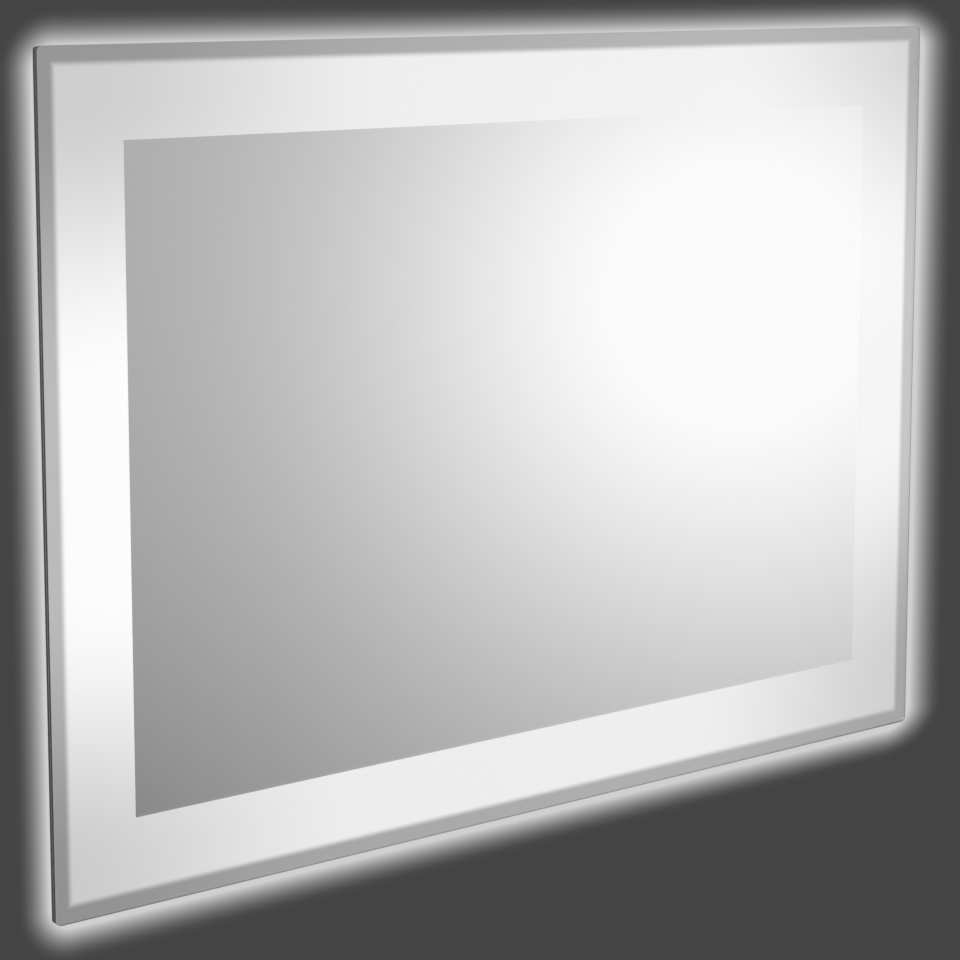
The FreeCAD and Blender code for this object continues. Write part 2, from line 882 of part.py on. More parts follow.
def make_terminal_block():
    """Block with a wire way through each pole and a screw over each."""
    x = box_x + terminal_offset
    y_low = y_floor - box_wall
    body = block(x, z_electrics, terminal_width, terminal_length, y_low, y_low - terminal_height)
    pitch = terminal_length / terminal_poles
    y_way = y_low - terminal_way_rise
    for z in spread(terminal_poles, pitch * (terminal_poles - 1)):
        start = Vector(x - terminal_width, y_way, z_electrics + z)
        way = prism(lead_sides, terminal_pole_radius, start, Vector(2 * terminal_width, 0, 0))
        well = peg(terminal_pole_radius, x, z_electrics + z, y_way, y_low - terminal_height - EPS)
        body = body.cut(way.fuse(well))
    return single(body)


def make_cable_grommet():
    """Rubber ring that the supply cable passes: a groove holds the tray and the box's floor."""
    x, z = box_x + inlet_offset, z_electrics
    y_inside = y_floor - box_wall
    ring = rod(grommet_neck_radius, x, z, y_inside, y_tray_back)
    ring = ring.fuse([
        rod(grommet_flange_radius, x, z, y_tray_back, y_tray_back + grommet_flange),
        rod(grommet_flange_radius, x, z, y_inside - grommet_flange, y_inside),
    ]).removeSplitter()
    bore = rod(
        inlet_radius, x, z, y_inside - grommet_flange - EPS, y_tray_back + grommet_flange + EPS
    )
    return single(ring.cut(bore))


def screw_set(places, spec, y_seat, y_tip):
    """Pan-head screws with heads towards the front."""
    shank, crown, height = spec
    screws = []
    for x, z in places:
        cap = head(crown, x, z, y_seat, y_seat - height)
        screws.append(cap.fuse(peg(shank, x, z, y_seat, y_tip)))
    return group(screws)


def make_housing_screws():
    ears = screw_set(
        ear_screw_places(), ear_screw, y_floor - ear_thickness, y_tray_back + ear_screw_reach
    )
    sets = [ears]
    for x, length, width, height, wall in (
        (driver_x, driver_length, driver_width, driver_height, driver_wall),
        (box_x, box_length, box_width, box_height, box_wall),
    ):
        y_seat = y_floor - height - wall
        places = lid_post_places(x, length, width, wall)
        sets.append(screw_set(places, lid_screw, y_seat, y_seat + lid_screw_length))
    return group(sets)


# ---------------------------------------------------------------- leads


def feed_exit_x():
    """Where the halo feed goes through the tray's bottom wall: beside the halo strip's end."""
    return halo_strip_long / 2 + wire_radius


def feed_exit_radius():
    return wire_radius + wire_hole_clearance + feed_grommet_wall


def feed_exit(sides, radius, u_from, u_to):
    """Upright bar through the bottom wall at the feed's exit."""
    start = Vector(feed_exit_x(), y_wire, z_bottom + u_from)
    return prism(sides, radius, start, Vector(0, 0, u_to - u_from))


def drop_places():
    """X of the two leads where they run down to the bottom wall: front feed, halo feed."""
    front = front_strip_long / 2 + wire_tail + wire_bend
    return front, front + wire_spacing


def feed_pass():
    """Slot in the bottom baffle's web for the two feed leads."""
    front, halo = drop_places()
    z = z_bottom + baffle_setback + baffle_sheet / 2
    span = halo - front + 2 * (wire_radius + pass_slot_margin)
    slot = stadium(span, pass_slot_width, 0, 0, -EPS, baffle_sheet + EPS)
    slot.rotate(Vector(0, 0, 0), Vector(1, 0, 0), 90)
    slot.translate(Vector((front + halo) / 2, y_wire, z - baffle_sheet / 2))
    return slot


def lead(points, radii, radius):
    """Round lead: straight runs joined by tangent arcs."""
    corners = [Vector(*p) for p in points]
    along = (corners[1] - corners[0]).normalize()
    start = corners[0]
    runs = []

    def disc():
        return Part.Face(polygon(lead_sides, radius, start, along))

    for corner, after, bend in zip(corners[1:], corners[2:], radii):
        onward = (after - corner).normalize()
        turn = along.getAngle(onward)
        reach = bend * math.tan(turn / 2)
        runs.append(disc().extrude(along * ((corner - start).Length - reach)))
        start = corner - along * reach
        axis = along.cross(onward).normalize()
        centre = start + axis.cross(along) * bend
        runs.append(disc().revolve(centre, axis, math.degrees(turn)))
        start, along = corner + onward * reach, onward
    runs.append(disc().extrude(corners[-1] - start))
    return single(runs[0].fuse(runs[1:]))


def make_front_feed():
    """From the driver, through the bottom baffle, to the right end of the bottom front strip."""
    z_start = feed_heights()[0]
    x_drop = drop_places()[0]
    z_wall = z_bottom + inner_setback + wire_radius
    points = [
        (driver_x + driver_length / 2 - driver_wall, y_wire, z_start),
        (x_drop, y_wire, z_start),
        (x_drop, y_wire, z_wall),
        (front_strip_long / 2, y_wire, z_wall),
    ]
    return lead(points, [wire_bend, wire_bend], wire_radius)


def make_halo_feed():
    """From the driver, through the bottom baffle and the tray's bottom wall, into the halo cover."""
    z_start = feed_heights()[1]
    x_drop = drop_places()[1]
    z_run = z_bottom + inner_setback + wire_wall_lift
    points = [
        (driver_x + driver_length / 2 - driver_wall, y_wire, z_start),
        (x_drop, y_wire, z_start),
        (x_drop, y_wire, z_run),
        (feed_exit_x(), y_wire, z_run),
        (feed_exit_x(), y_wire, z_bottom + tray_setback - cover_depth + cover_wall + halo_wire_gap),
    ]
    return lead(points, [wire_bend, wire_bend, wire_exit_bend], wire_radius)


def make_feed_grommet():
    """Small rubber ring in the tray's bottom wall round the halo feed."""
    u_end = inner_setback + feed_grommet_flange
    radius = feed_exit_radius()
    neck = feed_exit(head_sides, radius, tray_setback, inner_setback)
    flange = feed_exit(head_sides, radius + feed_grommet_wall, inner_setback, u_end)
    bore = feed_exit(
        lead_sides, wire_radius + wire_hole_clearance, tray_setback - EPS, u_end + EPS
    )
    return single(neck.fuse(flange).cut(bore))


def make_mains_link():
    """Short mains lead from the terminal block to the driver."""
    left = box_x + terminal_offset + terminal_width / 2
    right = driver_x - driver_length / 2 + driver_wall + board_gap / 2
    start = Vector(left, y_link, z_electrics)
    return prism(lead_sides, link_radius, start, Vector(right - left, 0, 0))


def corner_leads(setback, radius, bend, gap_long, gap_short, y):
    """The same lead round three corners: bottom left, top left and top right."""
    x, z = -glass_width / 2 + setback, z_bottom + setback
    points = [
        (-glass_width / 2 + gap_long, y, z),
        (x, y, z),
        (x, y, z_bottom + gap_short),
    ]
    first = lead(points, [bend], radius)
    second = first.mirror(Vector(0, 0, z_middle), Vector(0, 0, 1))
    third = second.mirror(Vector(0, 0, 0), Vector(1, 0, 0))
    return group([first, second, third])


def make_front_links():
    """Leads that join the front strips, on the tray's inner walls."""
    gap = inner_setback + front_strip_end_gap
    return corner_leads(inner_setback + wire_radius, wire_radius, wire_bend, gap, gap, y_wire)


def make_halo_links():
    """Leads that join the halo strips, inside their covers."""
    setback = tray_setback - halo_wire_radius - halo_wire_gap
    bend = tray_corner_radius + halo_wire_radius + halo_wire_gap
    gap = tray_setback + halo_strip_end_gap
    return corner_leads(setback, halo_wire_radius, bend, gap, gap, y_halo_strip)


def clip_at(x, z, upright):
    """Saddle on the tray's floor that holds the two feed leads."""
    long, wide = (clip_width, clip_length) if upright else (clip_length, clip_width)
    return block(x, z, long, wide, y_floor, y_wire - wire_radius - clip_cover)


def make_lead_clips():
    """Clips along the two feed leads: two on the level run and two on the drop."""
    start = driver_x + driver_length / 2 + ear_length
    front, halo = drop_places()
    level = [start + (front - start) * share for share in clip_level_shares]
    z_low = z_bottom + foot_setback
    drop = [z_electrics + (z_low - z_electrics) * share for share in clip_drop_shares]
    clips = [clip_at(x, z_electrics, True) for x in level]
    clips += [clip_at((front + halo) / 2, z, False) for z in drop]
    radius = wire_radius + wire_hole_clearance
    reach = clip_length
    cut = []
    for clip, x in zip(clips[:2], level):
        ways = [
            prism(lead_sides, radius, Vector(x - reach / 2, y_wire, z), Vector(reach, 0, 0))
            for z in feed_heights()
        ]
        cut.append(single(clip.cut(ways)))
    for clip, z in zip(clips[2:], drop):
        ways = [
            prism(lead_sides, radius, Vector(x, y_wire, z - reach / 2), Vector(0, 0, reach))
            for x in (front, halo)
        ]
        cut.append(single(clip.cut(ways)))
    return group(cut)


# ---------------------------------------------------------------- supports, rails and bumpers


def make_foam_pads():
    """Foam blocks that back the middle of the pane."""
    pads = []
    for sx in (-1, 1):
        for sz in (-1, 1):
            x, z = sx * pad_spacing_x / 2, z_middle + sz * pad_spacing_z / 2
            pads.append(block(x, z, pad_size, pad_size, y_floor, y_silver_back))
    return group(pads)


def rail_bar(points, length):
    """Rail with a section given as (y, z) points, centred on X = 0."""
    outline = [Vector(-length / 2, y, z) for y, z in points]
    return Part.Face(Part.makePolygon(outline + outline[:1])).extrude(Vector(length, 0, 0))


def make_wall_rail():
    """Z-section on the wall: foot with screw holes, step, and a lip that points up."""
    y_lip_back = -2 * rail_layer
    y_lip_front = y_lip_back - rail_sheet
    section = [
        (0, -rail_foot),
        (0, rail_step),
        (y_lip_back, rail_step),
        (y_lip_back, z_seat),
        (y_lip_front, z_seat),
        (y_lip_front, rail_step - rail_sheet),
        (-rail_sheet, rail_step - rail_sheet),
        (-rail_sheet, -rail_foot),
    ]
    rail = rail_bar(section, wall_rail_length)
    for sign in (-1, 1):
        x = sign * outer_hole_spacing / 2
        slot = stadium(wall_slot_length, 2 * wall_hole_radius, x, 0, -rail_sheet - EPS, EPS)
        rail = rail.cut(slot)
        x = sign * inner_hole_spacing / 2
        rail = rail.cut(rod(wall_hole_radius, x, 0, -rail_sheet - EPS, EPS))
    return single(rail)


def make_hanger_rail():
    """Z-section on the tray: foot with rivet holes, step, and a lip that points down."""
    y_foot_back = y_tray_back + rail_sheet
    y_lip_back = -rail_layer
    y_lip_front = y_lip_back - rail_sheet
    z_lip = z_seat - hook_overlap
    section = [
        (y_tray_back, z_seat),
        (y_tray_back, z_seat + hanger_foot),
        (y_foot_back, z_seat + hanger_foot),
        (y_foot_back, z_seat + rail_sheet),
        (y_lip_back, z_seat + rail_sheet),
        (y_lip_back, z_lip),
        (y_lip_front, z_lip),
        (y_lip_front, z_seat),
    ]
    rail = rail_bar(section, hanger_rail_length)
    for x, z in hanger_rivet_places():
        rail = rail.cut(peg(rivet_radius, x, z, y_tray_back - EPS, y_foot_back + EPS))
    return single(rail)


def make_hanger_rivets():
    rivets = [rivet(x, z, y_tray_back + rail_sheet, y_floor) for x, z in hanger_rivet_places()]
    return group(rivets)


def make_wall_bumpers():
    """Rubber feet that keep the bottom of the mirror parallel to the wall."""
    feet = []
    for sign in (-1, 1):
        x = sign * (glass_width / 2 - bumper_setback)
        feet.append(rod(bumper_radius, x, z_bottom + bumper_setback, y_tray_back, 0))
    return group(feet)


# ---------------------------------------------------------------- all nodes


def all_nodes():
    nodes = {
        "mirror_glass": make_mirror_glass(),
        "silver_layer": make_silver_layer(),
        "opal_sheet": make_opal_sheet(),
        "glass_bond": make_glass_bond(),
        "corner_keys": make_corner_keys(),
        "rear_tray": make_rear_tray(),
        "tray_screws": make_tray_screws(),
        "baffle_rivets": make_baffle_rivets(),
        "driver_case": make_driver_case(),
        "driver_lid": housing_lid(
            driver_x, driver_length, driver_width, driver_height, driver_wall
        ),
        "driver_board": make_driver_board(),
        "terminal_box": make_terminal_box(),
        "terminal_box_lid": housing_lid(box_x, box_length, box_width, box_height, box_wall),
        "terminal_block": make_terminal_block(),
        "cable_grommet": make_cable_grommet(),
        "housing_screws": make_housing_screws(),
        "mains_link": make_mains_link(),
        "front_feed_lead": make_front_feed(),
        "halo_feed_lead": make_halo_feed(),
        "feed_grommet": make_feed_grommet(),
        "front_link_leads": make_front_links(),
        "halo_link_leads": make_halo_links(),
        "lead_clips": make_lead_clips(),
        "foam_pads": make_foam_pads(),
        "hanger_rail": make_hanger_rail(),
        "hanger_rivets": make_hanger_rivets(),
        "wall_rail": make_wall_rail(),
        "wall_bumpers": make_wall_bumpers(),
    }
    nodes.update(make_frame_bars())
    nodes.update(make_baffles())
    nodes.update(make_front_strips())
    nodes.update(make_halo_strips())
    nodes.update(make_halo_covers())
    return nodes


def write_nodes():
    os.makedirs("parts", exist_ok=True)
    for name, shape in all_nodes().items():
        for solid in shape.Solids:
            if not solid.isValid() or solid.Volume <= 0:
                raise ValueError(f"{name} has a solid that isn't sound")
        shape.exportStep(f"parts/{name}.step")
        print(f"{name}: {len(shape.Solids)} solids, {shape.Volume / 1000:.2f} cm3")
    print(f"wall gap {wall_gap:.1f}, rim {rim_width:.1f}, lift to unhook {hook_overlap:.1f}")


write_nodes()
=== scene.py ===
# %% [markdown]
# # A lighted bathroom mirror
# The CAD model gives every piece its true size and place. This file gives the pieces their finish, adds
# the small detail that a render needs, and lights the mirror the way a plain studio would.
# Everything is in metres. X runs to the right as seen from the front, Z runs up, and the pane faces -Y.
# The wall is the plane y = 0.

# %% Load the frame
import math

import bmesh
import bpy
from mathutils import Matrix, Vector


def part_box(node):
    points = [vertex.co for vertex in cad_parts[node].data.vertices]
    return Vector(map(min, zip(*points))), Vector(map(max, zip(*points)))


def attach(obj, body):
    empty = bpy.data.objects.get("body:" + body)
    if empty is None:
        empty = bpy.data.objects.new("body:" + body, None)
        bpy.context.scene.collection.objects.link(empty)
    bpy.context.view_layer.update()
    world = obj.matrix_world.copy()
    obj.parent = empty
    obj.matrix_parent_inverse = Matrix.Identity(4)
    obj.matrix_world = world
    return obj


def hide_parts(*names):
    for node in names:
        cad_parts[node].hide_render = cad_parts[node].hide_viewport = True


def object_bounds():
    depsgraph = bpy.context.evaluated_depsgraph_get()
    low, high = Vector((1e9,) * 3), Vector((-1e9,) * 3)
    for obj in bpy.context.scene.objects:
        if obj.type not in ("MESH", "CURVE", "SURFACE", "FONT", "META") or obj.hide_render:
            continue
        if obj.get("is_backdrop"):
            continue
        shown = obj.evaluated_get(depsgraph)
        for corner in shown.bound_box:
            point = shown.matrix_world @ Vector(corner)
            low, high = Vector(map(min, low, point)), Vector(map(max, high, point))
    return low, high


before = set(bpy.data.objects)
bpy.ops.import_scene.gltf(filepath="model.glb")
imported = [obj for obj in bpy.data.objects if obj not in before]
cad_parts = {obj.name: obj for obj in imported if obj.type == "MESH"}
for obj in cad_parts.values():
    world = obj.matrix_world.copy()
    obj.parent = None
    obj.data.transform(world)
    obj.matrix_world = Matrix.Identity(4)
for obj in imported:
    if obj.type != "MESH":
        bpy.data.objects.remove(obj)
cad_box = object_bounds()
MM = 0.001
print("pieces in the frame:", len(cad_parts))

# %% [markdown]
# ## Sizes
# A dressed piece has to sit exactly where its CAD piece is, so its sizes are read off the frame's boxes
# and never typed again.

# %% Read the main sizes off the frame
pane_low, pane_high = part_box("mirror_glass")
silver_low, silver_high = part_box("silver_layer")
pane_middle = (pane_low + pane_high) / 2
PANE_WIDTH = pane_high.x - pane_low.x
PANE_HEIGHT = pane_high.z - pane_low.z
BORDER = silver_low.x - pane_low.x
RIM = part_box("frame_left")[1].x - pane_low.x
print(f"pane {PANE_WIDTH:.3f} x {PANE_HEIGHT:.3f} m, border {BORDER:.3f} m, rim {RIM:.4f} m")

# %% [markdown]
# ## Building with nodes
# Shaders, the sky and Geometry Nodes are all node trees. One small helper adds a node and fills its
# sockets, with a value or with a link from another node's output, so that each tree below reads as a
# list of steps.


# %% Helper: add a node
def add(tree, kind, sockets=(), **settings):
    made = tree.nodes.new(kind)
    for key, value in settings.items():
        setattr(made, key, value)
    for socket, value in dict(sockets).items():
        if isinstance(value, bpy.types.NodeSocket):
            tree.links.new(value, made.inputs[socket])
        else:
            made.inputs[socket].default_value = value
    return made


def calculate(tree, operation, *values):
    """Output of a Math node."""
    return add(tree, "ShaderNodeMath", enumerate(values), operation=operation).outputs[0]


def ramp(tree, value, start, end, low=0.0, high=1.0):
    """Goes smoothly from low to high while value goes from start to end."""
    sockets = {"Value": value, "From Min": start, "From Max": end, "To Min": low, "To Max": high}
    return add(
        tree, "ShaderNodeMapRange", sockets, interpolation_type="SMOOTHSTEP"
    ).outputs["Result"]


def along_axes(tree, centre=(0, 0, 0)):
    """Outputs X, Y and Z of a point of the surface, measured from a centre."""
    spot = add(tree, "ShaderNodeTexCoord").outputs["Object"]
    spot = add(tree, "ShaderNodeVectorMath", {0: spot, 1: centre}, operation="SUBTRACT").outputs[0]
    return add(tree, "ShaderNodeSeparateXYZ", {0: spot}).outputs


# %% [markdown]
# ## Finishes with grain
# Metal, paint, rubber and moulded plastic are never one flat colour. Each has a grain: stretched along
# the rolling or drawing direction on metal, even on plastic. A noise on Object coordinates drives a
# slight change of colour, of gloss and of height. Stretching is only a different scale along each axis:
# a low scale along an axis makes the grain long that way.


# %% Helper: a surface with grain
def grained(name, dark, light, gloss, grain, height, metallic=0.0, detail=5.0):
    """gloss is the lowest and highest roughness, grain the noise's scale along X, Y and Z per metre."""
    material = bpy.data.materials.new(name)
    material.use_nodes = True
    tree = material.node_tree
    shader = tree.nodes["Principled BSDF"]
    spot = add(tree, "ShaderNodeTexCoord").outputs["Object"]
    spot = add(tree, "ShaderNodeMapping", {"Vector": spot, "Scale": grain}).outputs["Vector"]
    noise = add(
        tree, "ShaderNodeTexNoise", {"Vector": spot, "Scale": 1.0, "Detail": detail}
    ).outputs["Fac"]
    colour = add(tree, "ShaderNodeMix", {"Factor": noise}, data_type="RGBA")
    colour.inputs["A"].default_value = (*dark, 1)
    colour.inputs["B"].default_value = (*light, 1)
    bump = add(tree, "ShaderNodeBump", {"Height": noise, "Distance": height})
    tree.links.new(colour.outputs["Result"], shader.inputs["Base Color"])
    tree.links.new(ramp(tree, noise, 0.3, 0.7, *gloss), shader.inputs["Roughness"])
    tree.links.new(bump.outputs["Normal"], shader.inputs["Normal"])
    shader.inputs["Metallic"].default_value = metallic
    return material


# %% [markdown]
# The frame is drawn aluminium, anodised dark grey. Drawing leaves fine lines along each bar, so upright
# bars and level bars need their own copies of the finish. Sheet for the tray has the same kind of
# lines, longer and fainter, from rolling.

# %% Metals
LONG, FINE = 6.0, 900.0
anodised_level = grained(
    "anodised_level", (0.028, 0.028, 0.029), (0.042, 0.042, 0.044), (0.36, 0.5),
    (LONG, FINE, FINE), 0.02 * MM, metallic=0.35,
)
anodised_upright = grained(
    "anodised_upright", (0.028, 0.028, 0.029), (0.042, 0.042, 0.044), (0.36, 0.5),
    (FINE, FINE, LONG), 0.02 * MM, metallic=0.35,
)
rolled_sheet = grained(
    "rolled_sheet", (0.6, 0.61, 0.62), (0.74, 0.75, 0.76), (0.28, 0.46),
    (3.0, 260.0, 260.0), 0.03 * MM, metallic=0.8,
)
white_sheet = grained(
    "white_sheet", (0.8, 0.8, 0.79), (0.86, 0.86, 0.85), (0.45, 0.6), (300, 300, 300), 0.02 * MM
)
zinc_plate = grained(
    "zinc_plate", (0.78, 0.8, 0.82), (0.93, 0.94, 0.95), (0.2, 0.42), (45, 45, 45), 0.02 * MM,
    metallic=0.9,
)
rivet_alloy = grained(
    "rivet_alloy", (0.66, 0.66, 0.67), (0.76, 0.76, 0.77), (0.3, 0.42), (700, 700, 700), 0.02 * MM,
    metallic=0.95,
)
screw_steel = grained(
    "screw_steel", (0.5, 0.5, 0.51), (0.66, 0.66, 0.67), (0.22, 0.38), (600, 600, 600), 0.02 * MM,
    metallic=1.0,
)
print("metals:", [m.name for m in bpy.data.materials if m.name.endswith(("sheet", "steel", "alloy"))])

# %% [markdown]
# Plastics, rubber and the boards differ in colour and in how rough their skin is. Moulded housings have
# an even, fine texture from the tool. Foam is coarse and dull.

# %% Plastics, rubber, boards and foam
EVEN = (900, 900, 900)
driver_plastic = grained(
    "driver_plastic", (0.72, 0.72, 0.71), (0.78, 0.78, 0.77), (0.5, 0.62), EVEN, 0.04 * MM
)
box_plastic = grained(
    "box_plastic", (0.56, 0.57, 0.58), (0.62, 0.63, 0.64), (0.5, 0.64), EVEN, 0.04 * MM
)
terminal_plastic = grained(
    "terminal_plastic", (0.76, 0.75, 0.7), (0.8, 0.79, 0.75), (0.35, 0.45), EVEN, 0.01 * MM
)
clip_plastic = grained(
    "clip_plastic", (0.78, 0.78, 0.76), (0.83, 0.83, 0.81), (0.4, 0.5), EVEN, 0.01 * MM
)
black_rubber = grained(
    "black_rubber", (0.022, 0.022, 0.022), (0.04, 0.04, 0.04), (0.6, 0.8), EVEN, 0.06 * MM
)
lead_jacket = grained(
    "lead_jacket", (0.1, 0.1, 0.1), (0.14, 0.14, 0.14), (0.35, 0.5), EVEN, 0.02 * MM
)
bond = grained("bond", (0.04, 0.04, 0.04), (0.06, 0.06, 0.06), (0.5, 0.7), EVEN, 0.05 * MM)
circuit_board = grained(
    "circuit_board", (0.03, 0.2, 0.08), (0.05, 0.26, 0.12), (0.25, 0.4), (250, 250, 250), 0.02 * MM
)
strip_board = grained(
    "strip_board", (0.82, 0.82, 0.81), (0.88, 0.88, 0.87), (0.3, 0.42), (400, 400, 400), 0.01 * MM
)
foam = grained("foam", (0.2, 0.2, 0.21), (0.32, 0.32, 0.33), (0.85, 0.98), (600, 600, 600), 0.5 * MM)
print("finishes so far:", len(bpy.data.materials))

# %% [markdown]
# ## Glass and silver
# The pane is clear float glass, so it is a real dielectric: the light bends in it and its edge turns
# dark, because what enters there is trapped between the two faces. The silver behind it is a smooth
# metal. Its very low roughness keeps the reflection crisp with a trace of the softness of real silvering.

# %% Clear glass and the silver coat
glass = bpy.data.materials.new("float_glass")
glass.use_nodes = True
glass_shader = glass.node_tree.nodes["Principled BSDF"]
for socket, value in {
    "Base Color": (0.995, 0.995, 0.995, 1), "Roughness": 0.0, "IOR": 1.52, "Transmission Weight": 1.0,
}.items():
    glass_shader.inputs[socket].default_value = value

ground = grained(
    "ground_edge", (0.86, 0.86, 0.86), (0.94, 0.94, 0.94), (0.5, 0.7), (1500, 1500, 1500), 0.02 * MM
)
ground.node_tree.nodes["Principled BSDF"].inputs["Transmission Weight"].default_value = 0.12

silver = grained(
    "silver", (0.915, 0.915, 0.915), (0.935, 0.935, 0.935), (0.012, 0.02), (2.0, 2.0, 2.0), 0.0,
    metallic=1.0, detail=2.0,
)
print("pane:", glass.name, "with a", ground.name, "over", silver.name)

# %% [markdown]
# ## The lit border
# Behind the border the glass is frosted, and light strips stand on the chamber's four outer walls. Each
# strip is shorter than its side, so the border is brightest in the middle of a side and dimmer towards
# the corners. Over the frame no light gets in, and there the frosting shows as a grey rim whose edge is
# soft, because light spreads inside the glass. The material says just that: each side adds its share,
# which fades along the side and inwards, and a smooth step near the frame makes the rim.

# %% Brightness of the frosted border, as a formula
LEFT, RIGHT, TOP, BOTTOM = 0.36, 0.25, 0.23, 0.24  # what each side adds in its middle
CORNER_LEVEL = 0.555  # what is left in the corners
LEFT_LOSS, RIGHT_LOSS, LEVEL_LOSS = 0.46, 0.38, 0.68  # share of a side's light that the rim loses
RIM_DARK_LEFT, RIM_DARK_RIGHT = 0.31, 0.25  # what it loses on top of that
RIM_FROM, RIM_TO = RIM - 1.5 * MM, RIM + 6 * MM
UPRIGHT_FADE = (0.09, 0.36)  # from the brightest place of an upright side, in metres
LEVEL_FADE = (0.20, 0.57)
RIGHT_PEAK, TOP_PEAK = 0.03, 0.05  # from the side's middle to its brightest place
INWARD_FADE = (0.10, 0.40)
GLASS_LOSS = 0.92  # two faces of glass let this much through


def border_brightness(tree):
    spot = along_axes(tree, pane_middle)
    x, z = spot["X"], spot["Z"]
    from_left = calculate(tree, "ADD", x, PANE_WIDTH / 2)
    from_right = calculate(tree, "SUBTRACT", PANE_WIDTH / 2, x)
    from_bottom = calculate(tree, "ADD", z, PANE_HEIGHT / 2)
    from_top = calculate(tree, "SUBTRACT", PANE_HEIGHT / 2, z)
    total = CORNER_LEVEL
    lost = ramp(tree, from_left, 0.0, PANE_WIDTH, RIM_DARK_LEFT, RIM_DARK_RIGHT)
    for inward, along, peak, share, fade, loss in (
        (from_left, z, 0.0, LEFT, UPRIGHT_FADE, LEFT_LOSS),
        (from_right, z, RIGHT_PEAK, RIGHT, UPRIGHT_FADE, RIGHT_LOSS),
        (from_top, x, TOP_PEAK, TOP, LEVEL_FADE, LEVEL_LOSS),
        (from_bottom, x, 0.0, BOTTOM, LEVEL_FADE, LEVEL_LOSS),
    ):
        away = calculate(tree, "ABSOLUTE", calculate(tree, "SUBTRACT", along, peak))
        spread = ramp(tree, away, *fade, share, 0.0)
        near = ramp(tree, inward, *INWARD_FADE, 1.0, 0.0)
        added = calculate(tree, "MULTIPLY", spread, near)
        total = calculate(tree, "ADD", total, added)
        lost = calculate(tree, "MULTIPLY_ADD", added, loss, lost)
    edge = from_left
    for distance in (from_right, from_bottom, from_top):
        edge = calculate(tree, "MINIMUM", edge, distance)
    rim = ramp(tree, edge, RIM_FROM, RIM_TO, 1.0, 0.0)
    lost = calculate(tree, "MULTIPLY", rim, lost)
    return calculate(tree, "DIVIDE", calculate(tree, "SUBTRACT", total, lost), GLASS_LOSS)


# %% Glowing materials
def glowing(name, colour, base, strength):
    """A surface that shines. strength is a number, or a function that builds it in the tree."""
    material = bpy.data.materials.new(name)
    material.use_nodes = True
    tree = material.node_tree
    shader = tree.nodes["Principled BSDF"]
    shader.inputs["Base Color"].default_value = (*base, 1)
    shader.inputs["Roughness"].default_value = 0.6
    shader.inputs["Emission Color"].default_value = (*colour, 1)
    if callable(strength):
        tree.links.new(strength(tree), shader.inputs["Emission Strength"])
    else:
        shader.inputs["Emission Strength"].default_value = strength
    return material


HALO_PITCH, FRONT_PITCH = 20 * MM, 10 * MM  # from diode to diode
COVER_LIGHT, COVER_WAVE, OPAL_LIGHT = 0.76, 0.05, 0.5


def along_the_strip(tree):
    """The cover is a little brighter over each diode."""
    spot = along_axes(tree)
    wave = calculate(tree, "ADD", spot["X"], spot["Z"])
    wave = calculate(tree, "SINE", calculate(tree, "MULTIPLY", wave, math.tau / HALO_PITCH))
    return calculate(tree, "MULTIPLY_ADD", wave, COVER_WAVE, COVER_LIGHT)


frosting = glowing("frosting", (1, 1, 1), (0.04, 0.04, 0.04), border_brightness)
opal_front = glowing("opal_front", (1, 1, 1), (0.6, 0.6, 0.6), OPAL_LIGHT)
opal_halo = glowing("opal_halo", (1, 1, 1), (0.18, 0.18, 0.18), along_the_strip)
phosphor = glowing("phosphor", (1, 0.97, 0.88), (0.85, 0.75, 0.25), 1.0)
print("glowing:", frosting.name, opal_front.name, opal_halo.name, phosphor.name)

# %% [markdown]
# ## From a Geometry Nodes tree to a plain mesh
# A tree's result lives in a modifier. The export wants plain meshes, so a helper puts the tree on an
# object, fills its inputs, evaluates it once and keeps the mesh. Inputs are found by name in the tree's
# interface and set by identifier, which is what the modifier stores.


# %% Helper: run a tree and keep its mesh
SAME_POINT = 0.002 * MM  # points closer than this are one


def start_tree(name, inputs):
    """An empty tree with named inputs. Returns the tree, its inputs' outputs and a closing function."""
    tree = bpy.data.node_groups.new(name, "GeometryNodeTree")
    for label, kind in inputs.items():
        tree.interface.new_socket(label, in_out="INPUT", socket_type=f"NodeSocket{kind}")
    tree.interface.new_socket("Geometry", in_out="OUTPUT", socket_type="NodeSocketGeometry")
    source = tree.nodes.new("NodeGroupInput")

    def close(geometry, material=None):
        made = add(tree, "GeometryNodeRealizeInstances", {"Geometry": geometry}).outputs[0]
        if material is not None:
            sockets = {"Geometry": made, "Material": material}
            made = add(tree, "GeometryNodeSetMaterial", sockets).outputs[0]
        add(tree, "NodeGroupOutput", {"Geometry": made})

    return tree, source.outputs, close


def bake(name, tree, sizes, base=None):
    """The object that a tree makes, as a plain mesh."""
    thing = bpy.data.objects.new(name, base or bpy.data.meshes.new(name))
    bpy.context.collection.objects.link(thing)
    modifier = thing.modifiers.new(tree.name, "NODES")
    modifier.node_group = tree
    for item in tree.interface.items_tree:
        if item.in_out == "INPUT" and item.name in sizes:
            modifier[item.identifier] = sizes[item.name]
    thing.update_tag()
    graph = bpy.context.evaluated_depsgraph_get()
    mesh = bpy.data.meshes.new_from_object(thing.evaluated_get(graph))
    thing.modifiers.remove(modifier)
    thing.data = mesh
    mesh.name = name
    return thing


